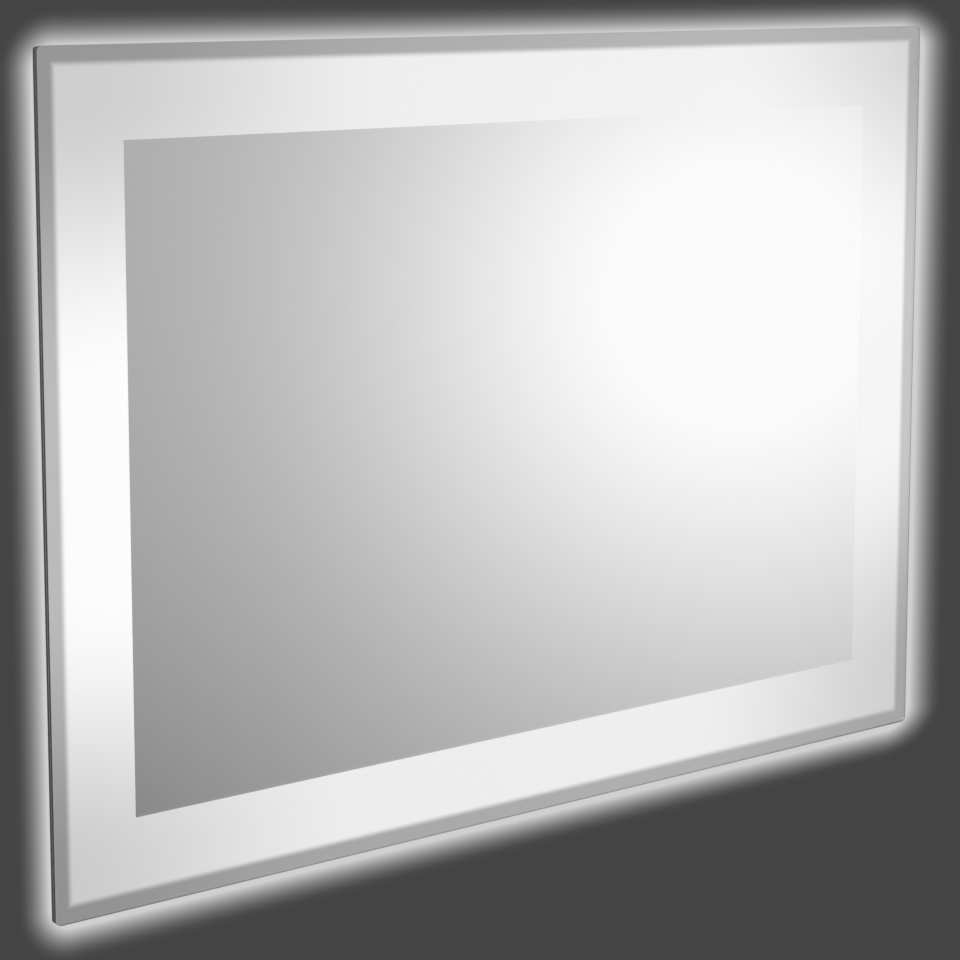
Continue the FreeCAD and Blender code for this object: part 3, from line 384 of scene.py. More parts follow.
def tidy(thing, flat=math.radians(0.5), smooth=math.radians(30)):
    """Merges doubles, joins flat triangles, turns faces outwards and keeps only real corners sharp."""
    work = bmesh.new()
    work.from_mesh(thing.data)
    bmesh.ops.remove_doubles(work, verts=work.verts, dist=SAME_POINT)
    bmesh.ops.dissolve_limit(work, angle_limit=flat, verts=work.verts, edges=work.edges)
    bmesh.ops.recalc_face_normals(work, faces=work.faces)
    work.to_mesh(thing.data)
    work.free()
    thing.data.shade_smooth()
    thing.data.set_sharp_from_angle(angle=smooth)
    return thing


# %% Helper: hand a piece over to the frame
def hand_over(thing, nodes, body="mirror"):
    """The piece stands for these CAD nodes and rides on a body."""
    if nodes:
        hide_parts(*nodes)
    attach(thing, body)
    return thing


def bevel(thing, width, segments=2):
    """Rounds the sharp edges, so that they catch the light."""
    modifier = thing.modifiers.new("edge", "BEVEL")
    modifier.width = width
    modifier.segments = segments
    modifier.limit_method = "ANGLE"
    modifier.angle_limit = math.radians(50)
    modifier.harden_normals = segments > 1
    return thing


# %% [markdown]
# ## Plates and rings that follow the pane
# The pane, the silver, the frosting, the adhesive and the opal sheet all follow the same outline at
# different set-backs and depths. One tree makes them all: a rectangle with rounded corners, a second one
# for the hole, both filled, then given a thickness. A piece without a hole gets a hole of size zero,
# which a switch leaves out.


# %% Tree: a plate or ring behind the pane
CORNER_STEPS = 12


def plate_tree():
    kinds = {
        "Width": "Float", "Height": "Float", "Corner": "Float", "Hole Width": "Float",
        "Hole Height": "Float", "Place": "Vector", "Thickness": "Float", "Material": "Material",
    }
    tree, given, close = start_tree("plate_or_ring", kinds)
    outer = add(
        tree, "GeometryNodeCurvePrimitiveQuadrilateral",
        {"Width": given["Width"], "Height": given["Height"]},
    ).outputs[0]
    outer = add(
        tree, "GeometryNodeFilletCurve",
        {"Curve": outer, "Radius": given["Corner"], "Count": CORNER_STEPS}, mode="POLY",
    ).outputs[0]
    inner = add(
        tree, "GeometryNodeCurvePrimitiveQuadrilateral",
        {"Width": given["Hole Width"], "Height": given["Hole Height"]},
    ).outputs[0]
    wanted = add(
        tree, "FunctionNodeCompare", {0: given["Hole Width"], 1: 0.0},
        data_type="FLOAT", operation="GREATER_THAN",
    ).outputs[0]
    inner = add(
        tree, "GeometryNodeSwitch", {"Switch": wanted, "True": inner}, input_type="GEOMETRY"
    ).outputs[0]
    both = tree.nodes.new("GeometryNodeJoinGeometry")
    tree.links.new(outer, both.inputs[0])
    tree.links.new(inner, both.inputs[0])
    face = add(
        tree, "GeometryNodeFillCurve", {"Curve": both.outputs[0]}, mode="TRIANGLES"
    ).outputs[0]
    up = add(tree, "ShaderNodeCombineXYZ", {"Z": given["Thickness"]}).outputs[0]
    walls = add(
        tree, "GeometryNodeExtrudeMesh",
        {"Mesh": face, "Offset": up, "Offset Scale": 1.0, "Individual": False}, mode="FACES",
    ).outputs[0]
    closed = tree.nodes.new("GeometryNodeJoinGeometry")
    tree.links.new(walls, closed.inputs[0])
    tree.links.new(add(tree, "GeometryNodeFlipFaces", {0: face}).outputs[0], closed.inputs[0])
    turned = add(
        tree, "GeometryNodeTransform",
        {"Geometry": closed.outputs[0], "Translation": given["Place"],
         "Rotation": (math.pi / 2, 0, 0)},
    ).outputs[0]
    close(turned, given["Material"])
    return tree


plate = plate_tree()


def ring_piece(name, material, setback, corner, hole_setback, front, back):
    """Plate between two depths, set back from the pane's edge, with a hole if hole_setback is given."""
    sizes = {
        "Width": PANE_WIDTH - 2 * setback, "Height": PANE_HEIGHT - 2 * setback, "Corner": corner,
        "Hole Width": PANE_WIDTH - 2 * hole_setback if hole_setback else 0.0,
        "Hole Height": PANE_HEIGHT - 2 * hole_setback if hole_setback else 0.0,
        "Place": Vector((pane_middle.x, back, pane_middle.z)),
        "Thickness": back - front, "Material": material,
    }
    return tidy(bake(name, plate, sizes))


# %% The pane, with its ground arris
PANE_CORNER, ARRIS = 6 * MM, 0.8 * MM
pane = ring_piece("glass_pane", glass, 0.0, PANE_CORNER, None, pane_low.y, pane_high.y)
pane.data.materials.append(ground)
bevel(pane, ARRIS, 1).modifiers["edge"].material = 1
hand_over(pane, ["mirror_glass"])
print("pane faces:", len(pane.data.polygons))

# %% [markdown]
# The coats on the back of the glass are far thinner than a pixel. They are made a little thinner than in
# the CAD model and kept a hair behind the glass, because two faces in the very same plane would flicker.
# The frosting is a coat of its own, from the pane's edge to the silver.

# %% Silver, frosting, adhesive and opal sheet
HAIR = 0.05 * MM
COAT_EDGE = 0.3 * MM  # bare glass outside the frosting
BOND_CORNER, BOND_SHORT = 4 * MM, 5.6 * MM  # the adhesive ends this far before the rim's inner edge
OPAL_LAP = 12 * MM  # behind the silver
y_coat = pane_high.y + HAIR
bond_low, bond_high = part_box("glass_bond")
opal_low, opal_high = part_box("opal_sheet")
silver_coat = ring_piece("silver_coat", silver, BORDER, 0.0, None, y_coat, silver_high.y)
hand_over(silver_coat, ["silver_layer"])
frosted = ring_piece(
    "frosted_border", frosting, COAT_EDGE, PANE_CORNER - COAT_EDGE, BORDER, y_coat, y_coat + HAIR
)
hand_over(frosted, [])
bead = ring_piece(
    "bond_bead", bond, bond_low.x - pane_low.x, BOND_CORNER, RIM - BOND_SHORT, y_coat + 2 * HAIR,
    bond_high.y,
)
hand_over(bead, ["glass_bond"])
opal = ring_piece(
    "opal_ring", opal_front, opal_low.x - pane_low.x, 0.0, BORDER + OPAL_LAP, opal_low.y,
    opal_high.y,
)
hand_over(opal, ["opal_sheet"])
print("coats at y =", round(y_coat / MM, 2), "mm")

# %% [markdown]
# ## Extrusions, sheet metal and housings
# Real edges are never knife-sharp: an extrusion leaves its die with a small radius, a folded sheet has
# a bend and a moulded box has rounded rims. The CAD pieces have the right shape already, so a copy of
# each is merged into clean faces and its sharp edges are rounded by a fraction of a millimetre.


# %% Helper: a CAD piece with rounded edges
def softened(node, material, width, body="mirror", segments=2):
    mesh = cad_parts[node].data.copy()
    if "custom_normal" in mesh.attributes:
        mesh.attributes.remove(mesh.attributes["custom_normal"])
    mesh.materials.clear()
    mesh.materials.append(material)
    thing = bpy.data.objects.new(f"{node}_finished", mesh)
    bpy.context.collection.objects.link(thing)
    tidy(thing)
    for face in thing.data.polygons:
        face.material_index = 0
    bevel(thing, width, segments)
    thing.modifiers.new("flat", "WEIGHTED_NORMAL").keep_sharp = True
    return hand_over(thing, [node], body)


# %% Frame, tray, rails and baffles
for side in ("bottom", "left", "top", "right"):
    upright = side in ("left", "right")
    bar_finish = anodised_upright if upright else anodised_level
    softened(f"frame_{side}", bar_finish, 0.2 * MM)
    softened(f"baffle_{side}", white_sheet, 0.25 * MM)
    softened(f"halo_cover_{side}", opal_halo, 0.25 * MM)
    softened(f"front_strip_{side}", strip_board, 0.08 * MM)
    softened(f"halo_strip_{side}", strip_board, 0.08 * MM)
softened("rear_tray", rolled_sheet, 0.25 * MM)
softened("corner_keys", zinc_plate, 0.2 * MM)
softened("hanger_rail", zinc_plate, 0.35 * MM)
softened("wall_rail", zinc_plate, 0.35 * MM, "wall_side")

# %% Housings, boards, clips and pads
for node, material, width, slot in (
    ("driver_case", driver_plastic, 0.4, "driver_plastic"),
    ("driver_lid", driver_plastic, 0.4, "driver_plastic"),
    ("driver_board", circuit_board, 0.2, "circuit_board"),
    ("terminal_box", box_plastic, 0.4, "box_plastic"),
    ("terminal_box_lid", box_plastic, 0.4, "box_plastic"),
    ("terminal_block", terminal_plastic, 0.3, "terminal_plastic"),
    ("lead_clips", clip_plastic, 0.3, "clip_plastic"),
    ("foam_pads", foam, 1.2, "foam"),
    ("cable_grommet", black_rubber, 0.4, "black_rubber"),
    ("feed_grommet", black_rubber, 0.15, "black_rubber"),
):
    softened(node, material, width * MM)

# %% [markdown]
# ## Turned shapes
# Screw heads, rivets and rubber feet are all turned: a short profile spun round an axis. The helper
# spins a list of (radius, depth) points round the Y axis. The mesh is closed at the axis, doubles are
# merged and the normals are set outwards, because a spin can leave them inside out.


# %% Helper: spin a profile
SHARP = math.radians(40)  # a turned shape's edges stay sharp from here


def turned(name, profile, material, steps=24):
    """profile is (radius, y) points from one end of the axis to the other."""
    work = bmesh.new()
    rings = []
    for radius, y in profile:
        if radius == 0:
            rings.append([work.verts.new((0, y, 0))])
            continue
        angles = [math.tau * i / steps for i in range(steps)]
        rings.append(
            [work.verts.new((radius * math.cos(a), y, radius * math.sin(a))) for a in angles]
        )
    for low, high in zip(rings, rings[1:]):
        for i in range(steps):
            j = (i + 1) % steps
            corners = [low[i % len(low)], low[j % len(low)], high[j % len(high)], high[i % len(high)]]
            work.faces.new(list(dict.fromkeys(corners)))
    bmesh.ops.recalc_face_normals(work, faces=work.faces)
    mesh = bpy.data.meshes.new(name)
    work.to_mesh(mesh)
    work.free()
    mesh.materials.append(material)
    mesh.shade_smooth()
    mesh.set_sharp_from_angle(angle=SHARP)
    thing = bpy.data.objects.new(name, mesh)
    bpy.context.collection.objects.link(thing)
    return thing


def solids_of(node):
    """Box of each separate solid of a CAD node, as (low, high) corners."""
    work = bmesh.new()
    work.from_mesh(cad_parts[node].data)
    bmesh.ops.remove_doubles(work, verts=work.verts, dist=SAME_POINT)
    left, boxes = set(work.verts), []
    while left:
        seed = left.pop()
        group, edge = {seed}, [seed]
        while edge:
            near = {e.other_vert(v) for v in edge for e in v.link_edges} - group
            group |= near
            edge = list(near)
        left -= group
        corners = [v.co for v in group]
        low = Vector(map(min, *corners))
        high = Vector(map(max, *corners))
        boxes.append((low, high))
    work.free()
    return sorted(boxes, key=lambda b: (round(b[0].x, 4), round(b[0].z, 4), round(b[0].y, 4)))


# %% [markdown]
# ## Screws and rivets, placed by a tree
# There are dozens of fasteners, and each kind is one shape repeated. The shape is made once: a domed
# head with a cross recess for a screw, a flanged head with a dimple for a blind rivet. Then a tree puts
# a copy on each point and turns it about its own axis by a random angle, as hand-driven screws are. The
# points are the fasteners of the CAD model.


# %% Tree: one shape on every point
def scatter_tree():
    kinds = {
        "Geometry": "Geometry", "Shape": "Object", "About": "Float", "Seed": "Int",
        "Material": "Material",
    }
    tree, given, close = start_tree("fasteners", kinds)
    shape = add(tree, "GeometryNodeObjectInfo", {"Object": given["Shape"]}).outputs["Geometry"]
    spin = add(
        tree, "FunctionNodeRandomValue", {2: 0.0, 3: math.tau, "Seed": given["Seed"]},
        data_type="FLOAT",
    ).outputs[1]
    turn = add(tree, "ShaderNodeCombineXYZ", {"Y": spin, "Z": given["About"]}).outputs[0]
    turn = add(tree, "FunctionNodeEulerToRotation", {0: turn}).outputs[0]
    copies = add(
        tree, "GeometryNodeInstanceOnPoints",
        {"Points": given["Geometry"], "Instance": shape, "Rotation": turn},
    ).outputs[0]
    close(copies, given["Material"])
    return tree


scatter = scatter_tree()
print("trees:", [g.name for g in bpy.data.node_groups])


# %% Shapes: a pan-head screw and a blind rivet
def pan_head(name, shank, head, height, reach):
    """Screw with its seat at y = 0, its head towards +Y and a cross recess."""
    profile = [
        (0, -reach), (shank * 0.5, -reach), (shank, -reach + shank), (shank, 0), (head, 0),
        (head, height * 0.35), (head * 0.92, height * 0.7), (head * 0.7, height * 0.93),
        (head * 0.35, height), (0, height),
    ]
    screw = turned(name, profile, screw_steel)
    work = bmesh.new()
    for length, width in ((head * 1.1, head * 0.3), (head * 0.3, head * 1.1)):
        made = bmesh.ops.create_cube(work, size=1.0)["verts"]
        bmesh.ops.scale(work, vec=(length, height * 1.2, width), verts=made)
        bmesh.ops.translate(work, vec=(0, height * 1.05, 0), verts=made)
    cross = bpy.data.meshes.new("cross")
    work.to_mesh(cross)
    work.free()
    cutter = bpy.data.objects.new("cross", cross)
    bpy.context.collection.objects.link(cutter)
    cut = screw.modifiers.new("recess", "BOOLEAN")
    cut.object = cutter
    cut.operation = "DIFFERENCE"
    cut.solver = "EXACT"
    cut.use_self = True
    graph = bpy.context.evaluated_depsgraph_get()
    mesh = bpy.data.meshes.new_from_object(screw.evaluated_get(graph))
    screw.modifiers.clear()
    screw.data = mesh
    bpy.data.objects.remove(cutter)
    return screw


def blind_rivet(name, shank, head, height, grip, tail, tail_height):
    """Rivet with its head's seat at y = 0 and its upset tail behind the sheets."""
    profile = [
        (0, height * 0.35), (shank * 0.55, height * 0.3), (shank * 0.7, height * 0.95),
        (head * 0.6, height * 0.9), (head * 0.9, height * 0.5), (head, height * 0.15), (head, 0),
        (shank, 0), (shank, -grip), (tail, -grip), (tail, -grip - tail_height * 0.6),
        (tail * 0.7, -grip - tail_height), (0, -grip - tail_height),
    ]
    return turned(name, profile, rivet_alloy, 20)


def scattered(name, nodes_points, shape, material, about=0.0, seed=1):
    """Copies of a shape on points, as one plain mesh, and the shape itself removed."""
    points = bpy.data.meshes.new(name)
    points.from_pydata(nodes_points, [], [])
    sizes = {"Shape": shape, "About": about, "Seed": seed, "Material": material}
    thing = bake(name, scatter, sizes, points)
    bpy.data.objects.remove(shape)
    thing.data.set_sharp_from_angle(angle=SHARP)
    return thing


# %% Tray screws
TRAY_SHEET, TRAY_SHANK = 1.0 * MM, 1.4 * MM


def half_span(low, high):
    return (high.x - low.x) / 2


tray_screws = solids_of("tray_screws")
flange_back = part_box("frame_left")[1].y + TRAY_SHEET
first = tray_screws[0]
seat = [((low.x + high.x) / 2, flange_back, (low.z + high.z) / 2) for low, high in tray_screws]
shape = pan_head(
    "tray_screw", TRAY_SHANK, half_span(*first), first[1].y - flange_back, flange_back - first[0].y
)
screws = scattered("tray_screws_turned", seat, shape, screw_steel, seed=3)
hand_over(screws, ["tray_screws"])
print("tray screws:", len(tray_screws))

# %% Screws of the two housings
BETWEEN_HEADS = 2.7 * MM  # heads of ear screws are larger than this, heads of lid screws smaller
housing = solids_of("housing_screws")
ears = [b for b in housing if half_span(*b) > BETWEEN_HEADS]
lids = [b for b in housing if half_span(*b) <= BETWEEN_HEADS]
for label, boxes, shank, head_height, nodes in (
    ("ear", ears, 1.6 * MM, 1.8 * MM, ["housing_screws"]),
    ("lid", lids, 1.25 * MM, 1.6 * MM, []),
):
    low, high = boxes[0]
    points = [((a.x + b.x) / 2, a.y + head_height, (a.z + b.z) / 2) for a, b in boxes]
    reach = high.y - low.y - head_height
    shape = pan_head(f"{label}_screw", shank, half_span(low, high), head_height, reach)
    screws = scattered(f"{label}_screws", points, shape, screw_steel, math.pi, 5)
    hand_over(screws, nodes)
print("ear screws:", len(ears), "lid screws:", len(lids))

# %% Rivets of the baffles and of the hanger rail
RIVET_SHANK, RIVET_TAIL, RIVET_HEAD_HEIGHT, RIVET_TAIL_HEIGHT = 1.6 * MM, 2.4 * MM, 0.9 * MM, 1.2 * MM
for node in ("baffle_rivets", "hanger_rivets"):
    boxes = solids_of(node)
    low, high = boxes[0]
    grip = high.y - low.y - RIVET_HEAD_HEIGHT - RIVET_TAIL_HEIGHT
    shape = blind_rivet(
        "rivet", RIVET_SHANK, half_span(low, high), RIVET_HEAD_HEIGHT, grip, RIVET_TAIL,
        RIVET_TAIL_HEIGHT,
    )
    points = [((a.x + b.x) / 2, b.y - RIVET_HEAD_HEIGHT, (a.z + b.z) / 2) for a, b in boxes]
    hand_over(scattered(f"{node}_turned", points, shape, rivet_alloy), [node])
    print(node, len(boxes))

# %% [markdown]
# ## Rubber feet
# The two feet keep the bottom of the mirror off the wall. Each is a soft disc with a rounded rim and a
# shallow ring in its face.

# %% Feet
feet = solids_of("wall_bumpers")
foot_low, foot_high = feet[0]
radius, tall = half_span(foot_low, foot_high), foot_high.y - foot_low.y
profile = [
    (0, 0), (1, 0), (1, 0.72), (0.96, 0.88), (0.86, 1), (0.6, 1), (0.5, 0.9), (0.38, 0.9),
    (0.28, 1), (0, 1),
]
shape = turned("foot", [(r * radius, y * tall) for r, y in profile], black_rubber, 40)
points = [((a.x + b.x) / 2, a.y, (a.z + b.z) / 2) for a, b in feet]
hand_over(scattered("feet_turned", points, shape, black_rubber), ["wall_bumpers"])
print("feet:", len(feet), f"{radius / MM:.1f} mm radius")

# %% [markdown]
# ## Diodes in rows
# A light strip is a long board with the same diode every centimetre or two. A tree walks along a line,
# drops a point at each step, and puts a diode there: a white package with a yellow window. The lines run
# clockwise round the mirror for the halo, so that a diode turned to follow its line faces outwards, and
# anticlockwise for the front light, so that it faces inwards.


# %% Tree: diodes along lines
def diode_tree():
    kinds = {
        "Geometry": "Geometry", "Pitch": "Float", "Package": "Vector", "Window": "Vector",
        "White": "Material", "Yellow": "Material",
    }
    tree, given, close = start_tree("diodes", kinds)
    line = add(tree, "GeometryNodeMeshToCurve", {"Mesh": given["Geometry"]}).outputs[0]
    walk = add(
        tree, "GeometryNodeCurveToPoints", {"Curve": line, "Length": given["Pitch"]}, mode="LENGTH"
    ).outputs
    facing = add(
        tree, "FunctionNodeAlignRotationToVector", {"Vector": walk["Tangent"]},
        axis="X", pivot_axis="Y",
    ).outputs[0]
    parts = tree.nodes.new("GeometryNodeJoinGeometry")
    for size, material, lift in (("Package", "White", 0.5), ("Window", "Yellow", 0.6)):
        cube = add(tree, "GeometryNodeMeshCube", {"Size": given[size]}).outputs["Mesh"]
        tall = add(tree, "ShaderNodeSeparateXYZ", {0: given["Package"]}).outputs["Z"]
        rise = calculate(tree, "MULTIPLY", tall, lift)
        rise = add(tree, "ShaderNodeCombineXYZ", {"Z": rise}).outputs[0]
        cube = add(tree, "GeometryNodeTransform", {"Geometry": cube, "Translation": rise}).outputs[0]
        cube = add(
            tree, "GeometryNodeSetMaterial", {"Geometry": cube, "Material": given[material]}
        ).outputs[0]
        tree.links.new(cube, parts.inputs[0])
    copies = add(
        tree, "GeometryNodeInstanceOnPoints",
        {"Points": walk["Points"], "Instance": parts.outputs[0], "Rotation": facing},
    ).outputs[0]
    close(copies)
    return tree


diodes = diode_tree()
PACKAGE = Vector((3.5, 2.8, 0.7)) * MM
WINDOW = Vector((2.6, 2.0, 0.66)) * MM


def strip_line(node, side, face):
    """Ends of a strip's middle line on the face that carries the diodes, clockwise round the mirror."""
    low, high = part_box(node)
    y = (low.y + high.y) / 2
    at_low = (side in ("left", "bottom")) == (face == "out")
    if side in ("left", "right"):
        x = low.x if at_low else high.x
        ends = [(x, y, low.z), (x, y, high.z)]
        return ends if side == "left" else ends[::-1]
    z = low.z if at_low else high.z
    ends = [(low.x, y, z), (high.x, y, z)]
    return ends if side == "top" else ends[::-1]


for label, face, pitch in (("halo", "out", HALO_PITCH), ("front", "in", FRONT_PITCH)):
    corners, edges = [], []
    for side in ("top", "right", "bottom", "left"):
        ends = strip_line(f"{label}_strip_{side}", side, face)
        ends = ends if face == "out" else ends[::-1]
        edges.append((len(corners), len(corners) + 1))
        corners += ends
    lines = bpy.data.meshes.new(f"{label}_diodes")
    lines.from_pydata(corners, edges, [])
    sizes = {
        "Pitch": pitch, "Package": PACKAGE, "Window": WINDOW, "White": strip_board, "Yellow": phosphor,
    }
    row = bake(f"{label}_diodes", diodes, sizes, lines)
    hand_over(row, [f"{label}_chips"])
    print(label, "diodes:", len(row.data.vertices) // 16)

# %% [markdown]
# ## Leads
# Inside the tray, round leads join the strips and the boxes. A tree turns a line of straight runs into a
# lead: it rounds the corners to the bend radius and sweeps a circle along. The runs start and end where
# the CAD leads do.


# %% Tree: a round lead along straight runs
BEND_STEPS, ROUND_STEPS = 10, 14


def lead_tree():
    kinds = {
        "Geometry": "Geometry", "Radius": "Float", "Bend": "Float", "Material": "Material",
    }
    tree, given, close = start_tree("round_lead", kinds)
    line = add(tree, "GeometryNodeMeshToCurve", {"Mesh": given["Geometry"]}).outputs[0]
    line = add(
        tree, "GeometryNodeFilletCurve",
        {"Curve": line, "Radius": given["Bend"], "Count": BEND_STEPS, "Limit Radius": True}, mode="POLY",
    ).outputs[0]
    section = add(
        tree, "GeometryNodeCurvePrimitiveCircle",
        {"Resolution": ROUND_STEPS, "Radius": given["Radius"]},
    ).outputs[0]
    tube = add(
        tree, "GeometryNodeCurveToMesh",
        {"Curve": line, "Profile Curve": section, "Fill Caps": True},
    ).outputs[0]
    close(tube, given["Material"])
    return tree


round_lead = lead_tree()


def lead(name, runs, radius, bend, nodes):
    """runs is a list of routes, each a list of points."""
    corners, edges = [], []
    for run in runs:
        first_point = len(corners)
        corners += [tuple(p) for p in run]
        edges += [(first_point + i, first_point + i + 1) for i in range(len(run) - 1)]
    line = bpy.data.meshes.new(name)
    line.from_pydata(corners, edges, [])
    sizes = {"Radius": radius, "Bend": bend, "Material": lead_jacket}
    thing = bake(name, round_lead, sizes, line)
    tidy(thing, flat=0.0, smooth=math.radians(50))
    return hand_over(thing, nodes)


# %% The three corner leads of each light
for label, radius, bend in (("front", 1.25 * MM, 20 * MM), ("halo", 1.0 * MM, 3.1 * MM)):
    low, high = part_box(f"{label}_link_leads")
    y = (low.y + high.y) / 2
    x_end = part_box(f"{label}_strip_bottom")[0].x
    upright_low, upright_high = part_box(f"{label}_strip_left")
    x, z, z_far = low.x + radius, low.z + radius, high.z - radius
    first_run = [(x_end, y, z), (x, y, z), (x, y, upright_low.z)]
    second_run = [(x_end, y, z_far), (x, y, z_far), (x, y, upright_high.z)]
    third_run = [(-px, py, pz) for px, py, pz in second_run]
    runs = [first_run, second_run, third_run]
    lead(f"{label}_links", runs, radius, bend, [f"{label}_link_leads"])
print("corner leads made")

# %% The two feed leads and the mains link
WIRE = 1.25 * MM  # radius
FEED_BEND, DROP_BEND = 20 * MM, 7 * MM
FEED_SPACING = 10 * MM  # from the front feed's drop to the halo feed's
HALO_RUN_RISE = 24 * MM  # of the halo feed's lowest run, over the pane's bottom edge
feed_low, feed_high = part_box("front_feed_lead")
y = (feed_low.y + feed_high.y) / 2
route = [
    (feed_low.x, y, feed_high.z - WIRE), (feed_high.x - WIRE, y, feed_high.z - WIRE),
    (feed_high.x - WIRE, y, feed_low.z + WIRE),
    (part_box("front_strip_bottom")[1].x, y, feed_low.z + WIRE),
]
lead("front_feed", [route], WIRE, FEED_BEND, ["front_feed_lead"])
feed_low, feed_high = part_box("halo_feed_lead")
drop_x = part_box("front_feed_lead")[1].x + FEED_SPACING - WIRE
exit_x = feed_high.x - WIRE
run_z = pane_low.z + HALO_RUN_RISE
route = [
    (feed_low.x, y, feed_high.z - WIRE), (drop_x, y, feed_high.z - WIRE), (drop_x, y, run_z),
    (exit_x, y, run_z), (exit_x, y, feed_low.z),
]
lead("halo_feed", [route], WIRE, DROP_BEND, ["halo_feed_lead"])
link_low, link_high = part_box("mains_link")
middle = (link_low + link_high) / 2
route = [(link_low.x, middle.y, middle.z), (link_high.x, middle.y, middle.z)]
lead("mains_lead", [route], (link_high.y - link_low.y) / 2, 0.0, ["mains_link"])
print("feed leads made")

# %% [markdown]
# ## The stage
# A mirror like this hangs on a wall, and its halo is only seen against one. The wall is a dark, even
# backdrop that is seen from the room's side alone, and the floor is seen from above alone, so that a
# camera behind or below them still sees the mirror.
#
# The halo is painted on a clear sheet close behind the pane, and not on the wall: seen from one side, the
# pane would hide the first centimetres of a glow on the wall. The glow follows the distance from the
# pane's outline: full close by, and gone a few centimetres out. It reaches further at the far side, so
# that it looks equally wide all round from where the picture is taken.


# %% Helpers: stage finishes
def stage_paint(name):
    """An empty finish for the stage."""
    paint = bpy.data.materials.new(name)
    paint.use_nodes = True
    paint.node_tree.nodes.clear()
    return paint


def shining(tree, level):
    """A shader that shines white, and takes no light from others."""
    return add(tree, "ShaderNodeEmission", {"Strength": level, "Color": (1, 1, 1, 1)}).outputs[0]


def one_sided(tree, front):
    """Shows a shader on the front of a face and nothing on its back."""
    clear = add(tree, "ShaderNodeBsdfTransparent").outputs[0]
    behind = add(tree, "ShaderNodeNewGeometry").outputs["Backfacing"]
    seen = add(tree, "ShaderNodeMixShader", {0: behind, 1: front, 2: clear}).outputs[0]
    add(tree, "ShaderNodeOutputMaterial", {"Surface": seen})


# %% Helpers: flat stage pieces
def stage_plane(name, corners, material):
    mesh = bpy.data.meshes.new(name)
    mesh.from_pydata(corners, [], [(0, 1, 2, 3)])
    mesh.materials.append(material)
    thing = bpy.data.objects.new(name, mesh)
    bpy.context.collection.objects.link(thing)
    thing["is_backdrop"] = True
    return thing


def upright_plane(name, low, high, material):
    """Faces the room between two corners, and is seen by the camera alone."""
    thing = stage_plane(
        name, [low, (high.x, high.y, low.z), high, (low.x, low.y, high.z)], material
    )
    thing.visible_diffuse = thing.visible_glossy = thing.visible_shadow = False
    thing.visible_transmission = False
    return thing


# %% The wall
WALL_GREY = 0.058
WALL_SIDE, WALL_TOP, FLOOR = 1.9, 1.1, -1.6
WALL_BEHIND = 0.2 * MM  # so that the wall doesn't touch what stands on it
wall_paint = stage_paint("wall_paint")
one_sided(wall_paint.node_tree, shining(wall_paint.node_tree, WALL_GREY))
wall = upright_plane(
    "wall", Vector((-WALL_SIDE, WALL_BEHIND, FLOOR)), Vector((WALL_SIDE, WALL_BEHIND, WALL_TOP)),
    wall_paint,
)
print("wall faces", tuple(round(c) for c in wall.data.polygons[0].normal))

# %% The glow
GLOW = 0.57
GLOW_FROM, GLOW_TO = 4.5 * MM, 39.5 * MM  # where the glow starts to fade and ends, outside the pane
GLOW_CURVE = 2.6
GLOW_CORNER = 20 * MM  # rounds the glow's corners
GLOW_NARROWER = 7.5 * MM  # at each upright side
GLOW_OFFSET = Vector((-3.5 * MM, 0, -4.5 * MM))
GLOW_STRETCH = 1.7  # how much further it reaches at the right
BEHIND_FRAME, BEHIND_PANE = 1.2 * MM, 0.5 * MM  # the sheet's places at its left and right edge


def distance_outside(tree, half_width, half_height, middle, stretch):
    """Distance from a rectangle's outline, zero inside it and shortened at the right."""
    spot = along_axes(tree, middle)
    reach = ramp(tree, spot["X"], 0.0, half_width, 1.0, stretch)
    total = 0.0
    for axis, half, scale in (("X", half_width, reach), ("Z", half_height, 1.0)):
        over = calculate(tree, "SUBTRACT", calculate(tree, "ABSOLUTE", spot[axis]), half)
        over = calculate(tree, "DIVIDE", calculate(tree, "MAXIMUM", over, 0.0), scale)
        total = calculate(tree, "MULTIPLY_ADD", over, over, total)
    return calculate(tree, "SQRT", total)


glow_light = stage_paint("glow_light")
tree = glow_light.node_tree
glow_middle = pane_middle + GLOW_OFFSET
half_width, half_height = PANE_WIDTH / 2 - GLOW_NARROWER, PANE_HEIGHT / 2
away = distance_outside(
    tree, half_width - GLOW_CORNER, half_height - GLOW_CORNER, glow_middle, GLOW_STRETCH
)
sockets = {
    "Value": away, "From Min": GLOW_CORNER + GLOW_FROM, "From Max": GLOW_CORNER + GLOW_TO,
    "To Min": 1.0, "To Max": 0.0,
}
fade = add(tree, "ShaderNodeMapRange", sockets).outputs["Result"]
level = calculate(tree, "MULTIPLY", calculate(tree, "POWER", fade, GLOW_CURVE), GLOW)
clear = add(tree, "ShaderNodeBsdfTransparent").outputs[0]
one_sided(tree, add(tree, "ShaderNodeAddShader", {0: shining(tree, level), 1: clear}).outputs[0])
reach = GLOW_STRETCH * (GLOW_TO + GLOW_CORNER)
corner = Vector((half_width + reach, 0, half_height + reach))
glow_low, glow_high = glow_middle - corner, glow_middle + corner
glow_low.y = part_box("frame_left")[1].y + BEHIND_FRAME
glow_high.y = pane_high.y + BEHIND_PANE
upright_plane("glow", glow_low, glow_high, glow_light)
print(f"the glow's sheet reaches {reach / MM:.0f} mm past the pane")

# %% The floor
floor_paint = grained(
    "floor_paint", (0.78, 0.78, 0.77), (0.8, 0.8, 0.79), (0.7, 0.8), (2, 2, 2), 0.0
)
tree = floor_paint.node_tree
tree.nodes.remove(tree.nodes["Material Output"])
one_sided(tree, tree.nodes["Principled BSDF"].outputs[0])
HALF = 40.0
corners = [(-HALF, -HALF, FLOOR), (HALF, -HALF, FLOOR), (HALF, HALF, FLOOR), (-HALF, HALF, FLOOR)]
floor = stage_plane("floor", corners, floor_paint)
floor.visible_glossy = floor.visible_transmission = False
print("floor at z =", FLOOR)

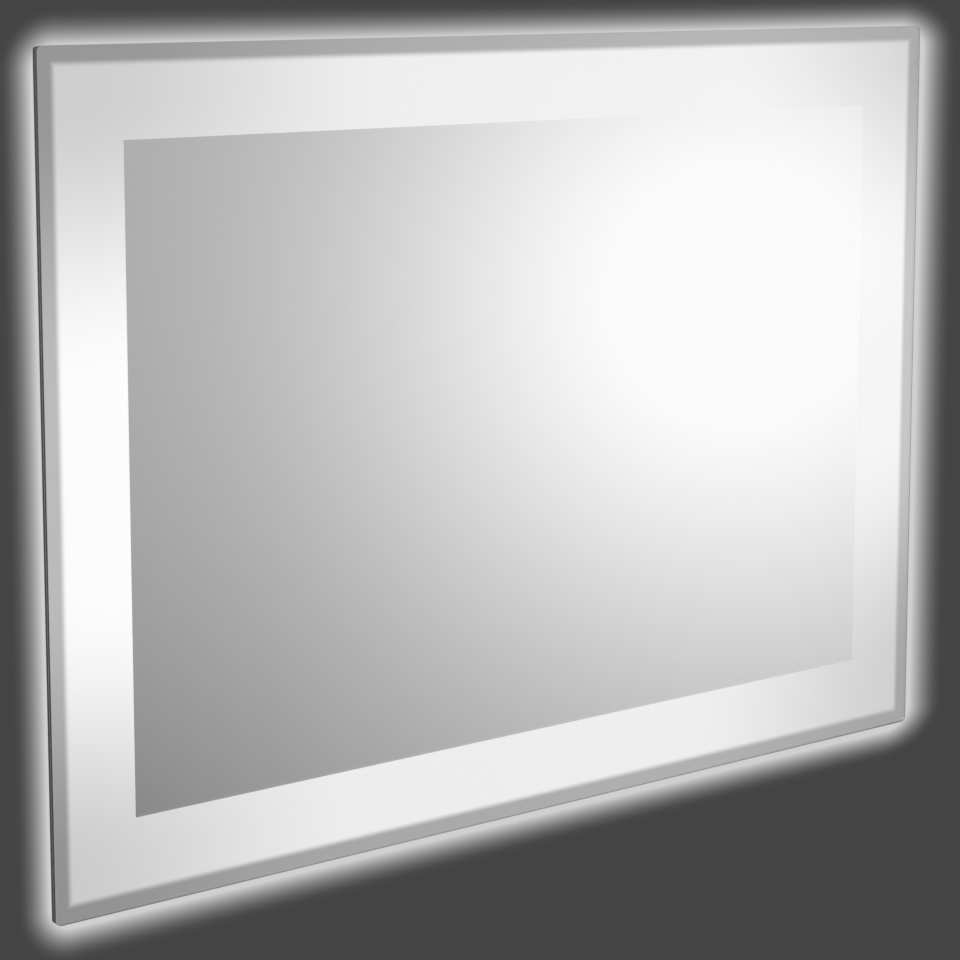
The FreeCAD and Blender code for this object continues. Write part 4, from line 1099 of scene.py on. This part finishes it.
# %% [markdown]
# ## What the mirror sees
# A mirror's look is the look of the room in front of it. Here the room is the sky: plain white light for
# surfaces, a pale backdrop for the camera, and for reflections a grey room with one broad soft light in
# it. Seen in the mirror, that light is the pale patch that fades across the pane. Weaker patches, one
# of them dark, stand for the rest of the room.

# %% The sky
LIGHT_AZIMUTH, LIGHT_HEIGHT = math.radians(42.6), math.radians(-7.4)
ROOM_LEVEL, HEIGHT_SLOPE = 0.43, 0.2
DARKEST, BRIGHTEST = 0.05, 1.05
PLAIN_LIGHT, BACKDROP = 0.6, 0.8
window = Vector(
    (math.cos(LIGHT_HEIGHT) * math.sin(LIGHT_AZIMUTH),
     -math.cos(LIGHT_HEIGHT) * math.cos(LIGHT_AZIMUTH), math.sin(LIGHT_HEIGHT))
)
PATCHES = (  # direction, tightness (higher is smaller) and level
    (window, 99.0, 0.73),
    (Vector((-0.3, -0.94, 0.16)), 22.0, 0.4),  # a second light, left of the first
    (Vector((-0.6, 0.7, 0.4)), 4.0, 0.45),  # a broad light behind the wall, for the metal at the back
    (Vector((0.376, -0.832, -0.408)), 110.0, -0.28),  # a dark corner, low on the right
)

world = bpy.data.worlds.new("studio")
bpy.context.scene.world = world
world.use_nodes = True
tree = world.node_tree
tree.nodes.clear()
direction = add(tree, "ShaderNodeTexCoord").outputs["Generated"]


def soft_patch(towards, tightness, level, room):
    """Adds to the room's brightness a light that is strongest in one direction."""
    along = add(tree, "ShaderNodeVectorMath", {0: direction, 1: towards}, operation="DOT_PRODUCT")
    fall = calculate(tree, "SUBTRACT", along.outputs["Value"], 1.0)
    patch = calculate(tree, "EXPONENT", calculate(tree, "MULTIPLY", fall, tightness))
    return calculate(tree, "MULTIPLY_ADD", patch, level, room)


height = add(tree, "ShaderNodeSeparateXYZ", {0: direction}).outputs["Z"]
room = calculate(tree, "MULTIPLY_ADD", height, HEIGHT_SLOPE, ROOM_LEVEL)
for towards, tightness, level in PATCHES:
    room = soft_patch(towards.normalized(), tightness, level, room)
room = calculate(tree, "MAXIMUM", calculate(tree, "MINIMUM", room, BRIGHTEST), DARKEST)
ray = add(tree, "ShaderNodeLightPath").outputs
mirrored = calculate(tree, "MAXIMUM", ray["Is Glossy Ray"], ray["Is Transmission Ray"])
seen = add(tree, "ShaderNodeMix", {"Factor": mirrored, 2: PLAIN_LIGHT, 3: room}).outputs[0]
seen = add(tree, "ShaderNodeMix", {"Factor": ray["Is Camera Ray"], 2: seen, 3: BACKDROP}).outputs[0]
add(
    tree, "ShaderNodeOutputWorld",
    {"Surface": add(tree, "ShaderNodeBackground", {"Color": (1, 1, 1, 1), "Strength": seen}).outputs[0]},
)
print("sky ready")


# %% Two soft lamps
def soft_lamp(name, spot, power, size):
    lamp = bpy.data.lights.new(name, "AREA")
    lamp.energy = power
    lamp.size = size
    thing = bpy.data.objects.new(name, lamp)
    bpy.context.collection.objects.link(thing)
    thing.location = spot
    thing.rotation_euler = (pane_middle - Vector(spot)).to_track_quat("-Z", "Y").to_euler()
    return thing


front_lamp = soft_lamp("front_lamp", spot=(-1.9, -2.6, 1.7), power=40.0, size=1.2)
back_lamp = soft_lamp("back_lamp", spot=(1.7, 1.3, 1.5), power=45.0, size=0.9)
front_lamp.visible_glossy = back_lamp.visible_glossy = False
print("lamps:", front_lamp.name, back_lamp.name)

# %% [markdown]
# ## The camera
# The picture looks at the mirror from its left and from a little above its middle, with upright lines
# kept upright. A long lens from that side gives the same slope of the top and bottom edges. A small
# vertical shift holds the mirror in the frame while the camera stays nearly level.

# %% Camera
CAMERA_PLACE = Vector((-1.646, -2.130, 0.248))
CAMERA_TURN, CAMERA_TILT = math.radians(37.01), math.radians(-7.72)
sight = Vector(
    (math.sin(CAMERA_TURN) * math.cos(CAMERA_TILT), math.cos(CAMERA_TURN) * math.cos(CAMERA_TILT),
     math.sin(CAMERA_TILT))
)
lens = bpy.data.cameras.new("camera")
lens.lens = 100.0
lens.sensor_width = 36.0
lens.shift_y = -0.17
lens.clip_start = 0.05
camera = bpy.data.objects.new("camera", lens)
bpy.context.collection.objects.link(camera)
camera.location = CAMERA_PLACE
camera.rotation_euler = sight.to_track_quat("-Z", "Y").to_euler()
bpy.context.scene.camera = camera
bpy.context.scene.view_settings.view_transform = "Standard"
print("camera", [round(c, 3) for c in CAMERA_PLACE])

# %% Gather the sizes and finish
boxes = {"cad": cad_box, "visual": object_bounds()}
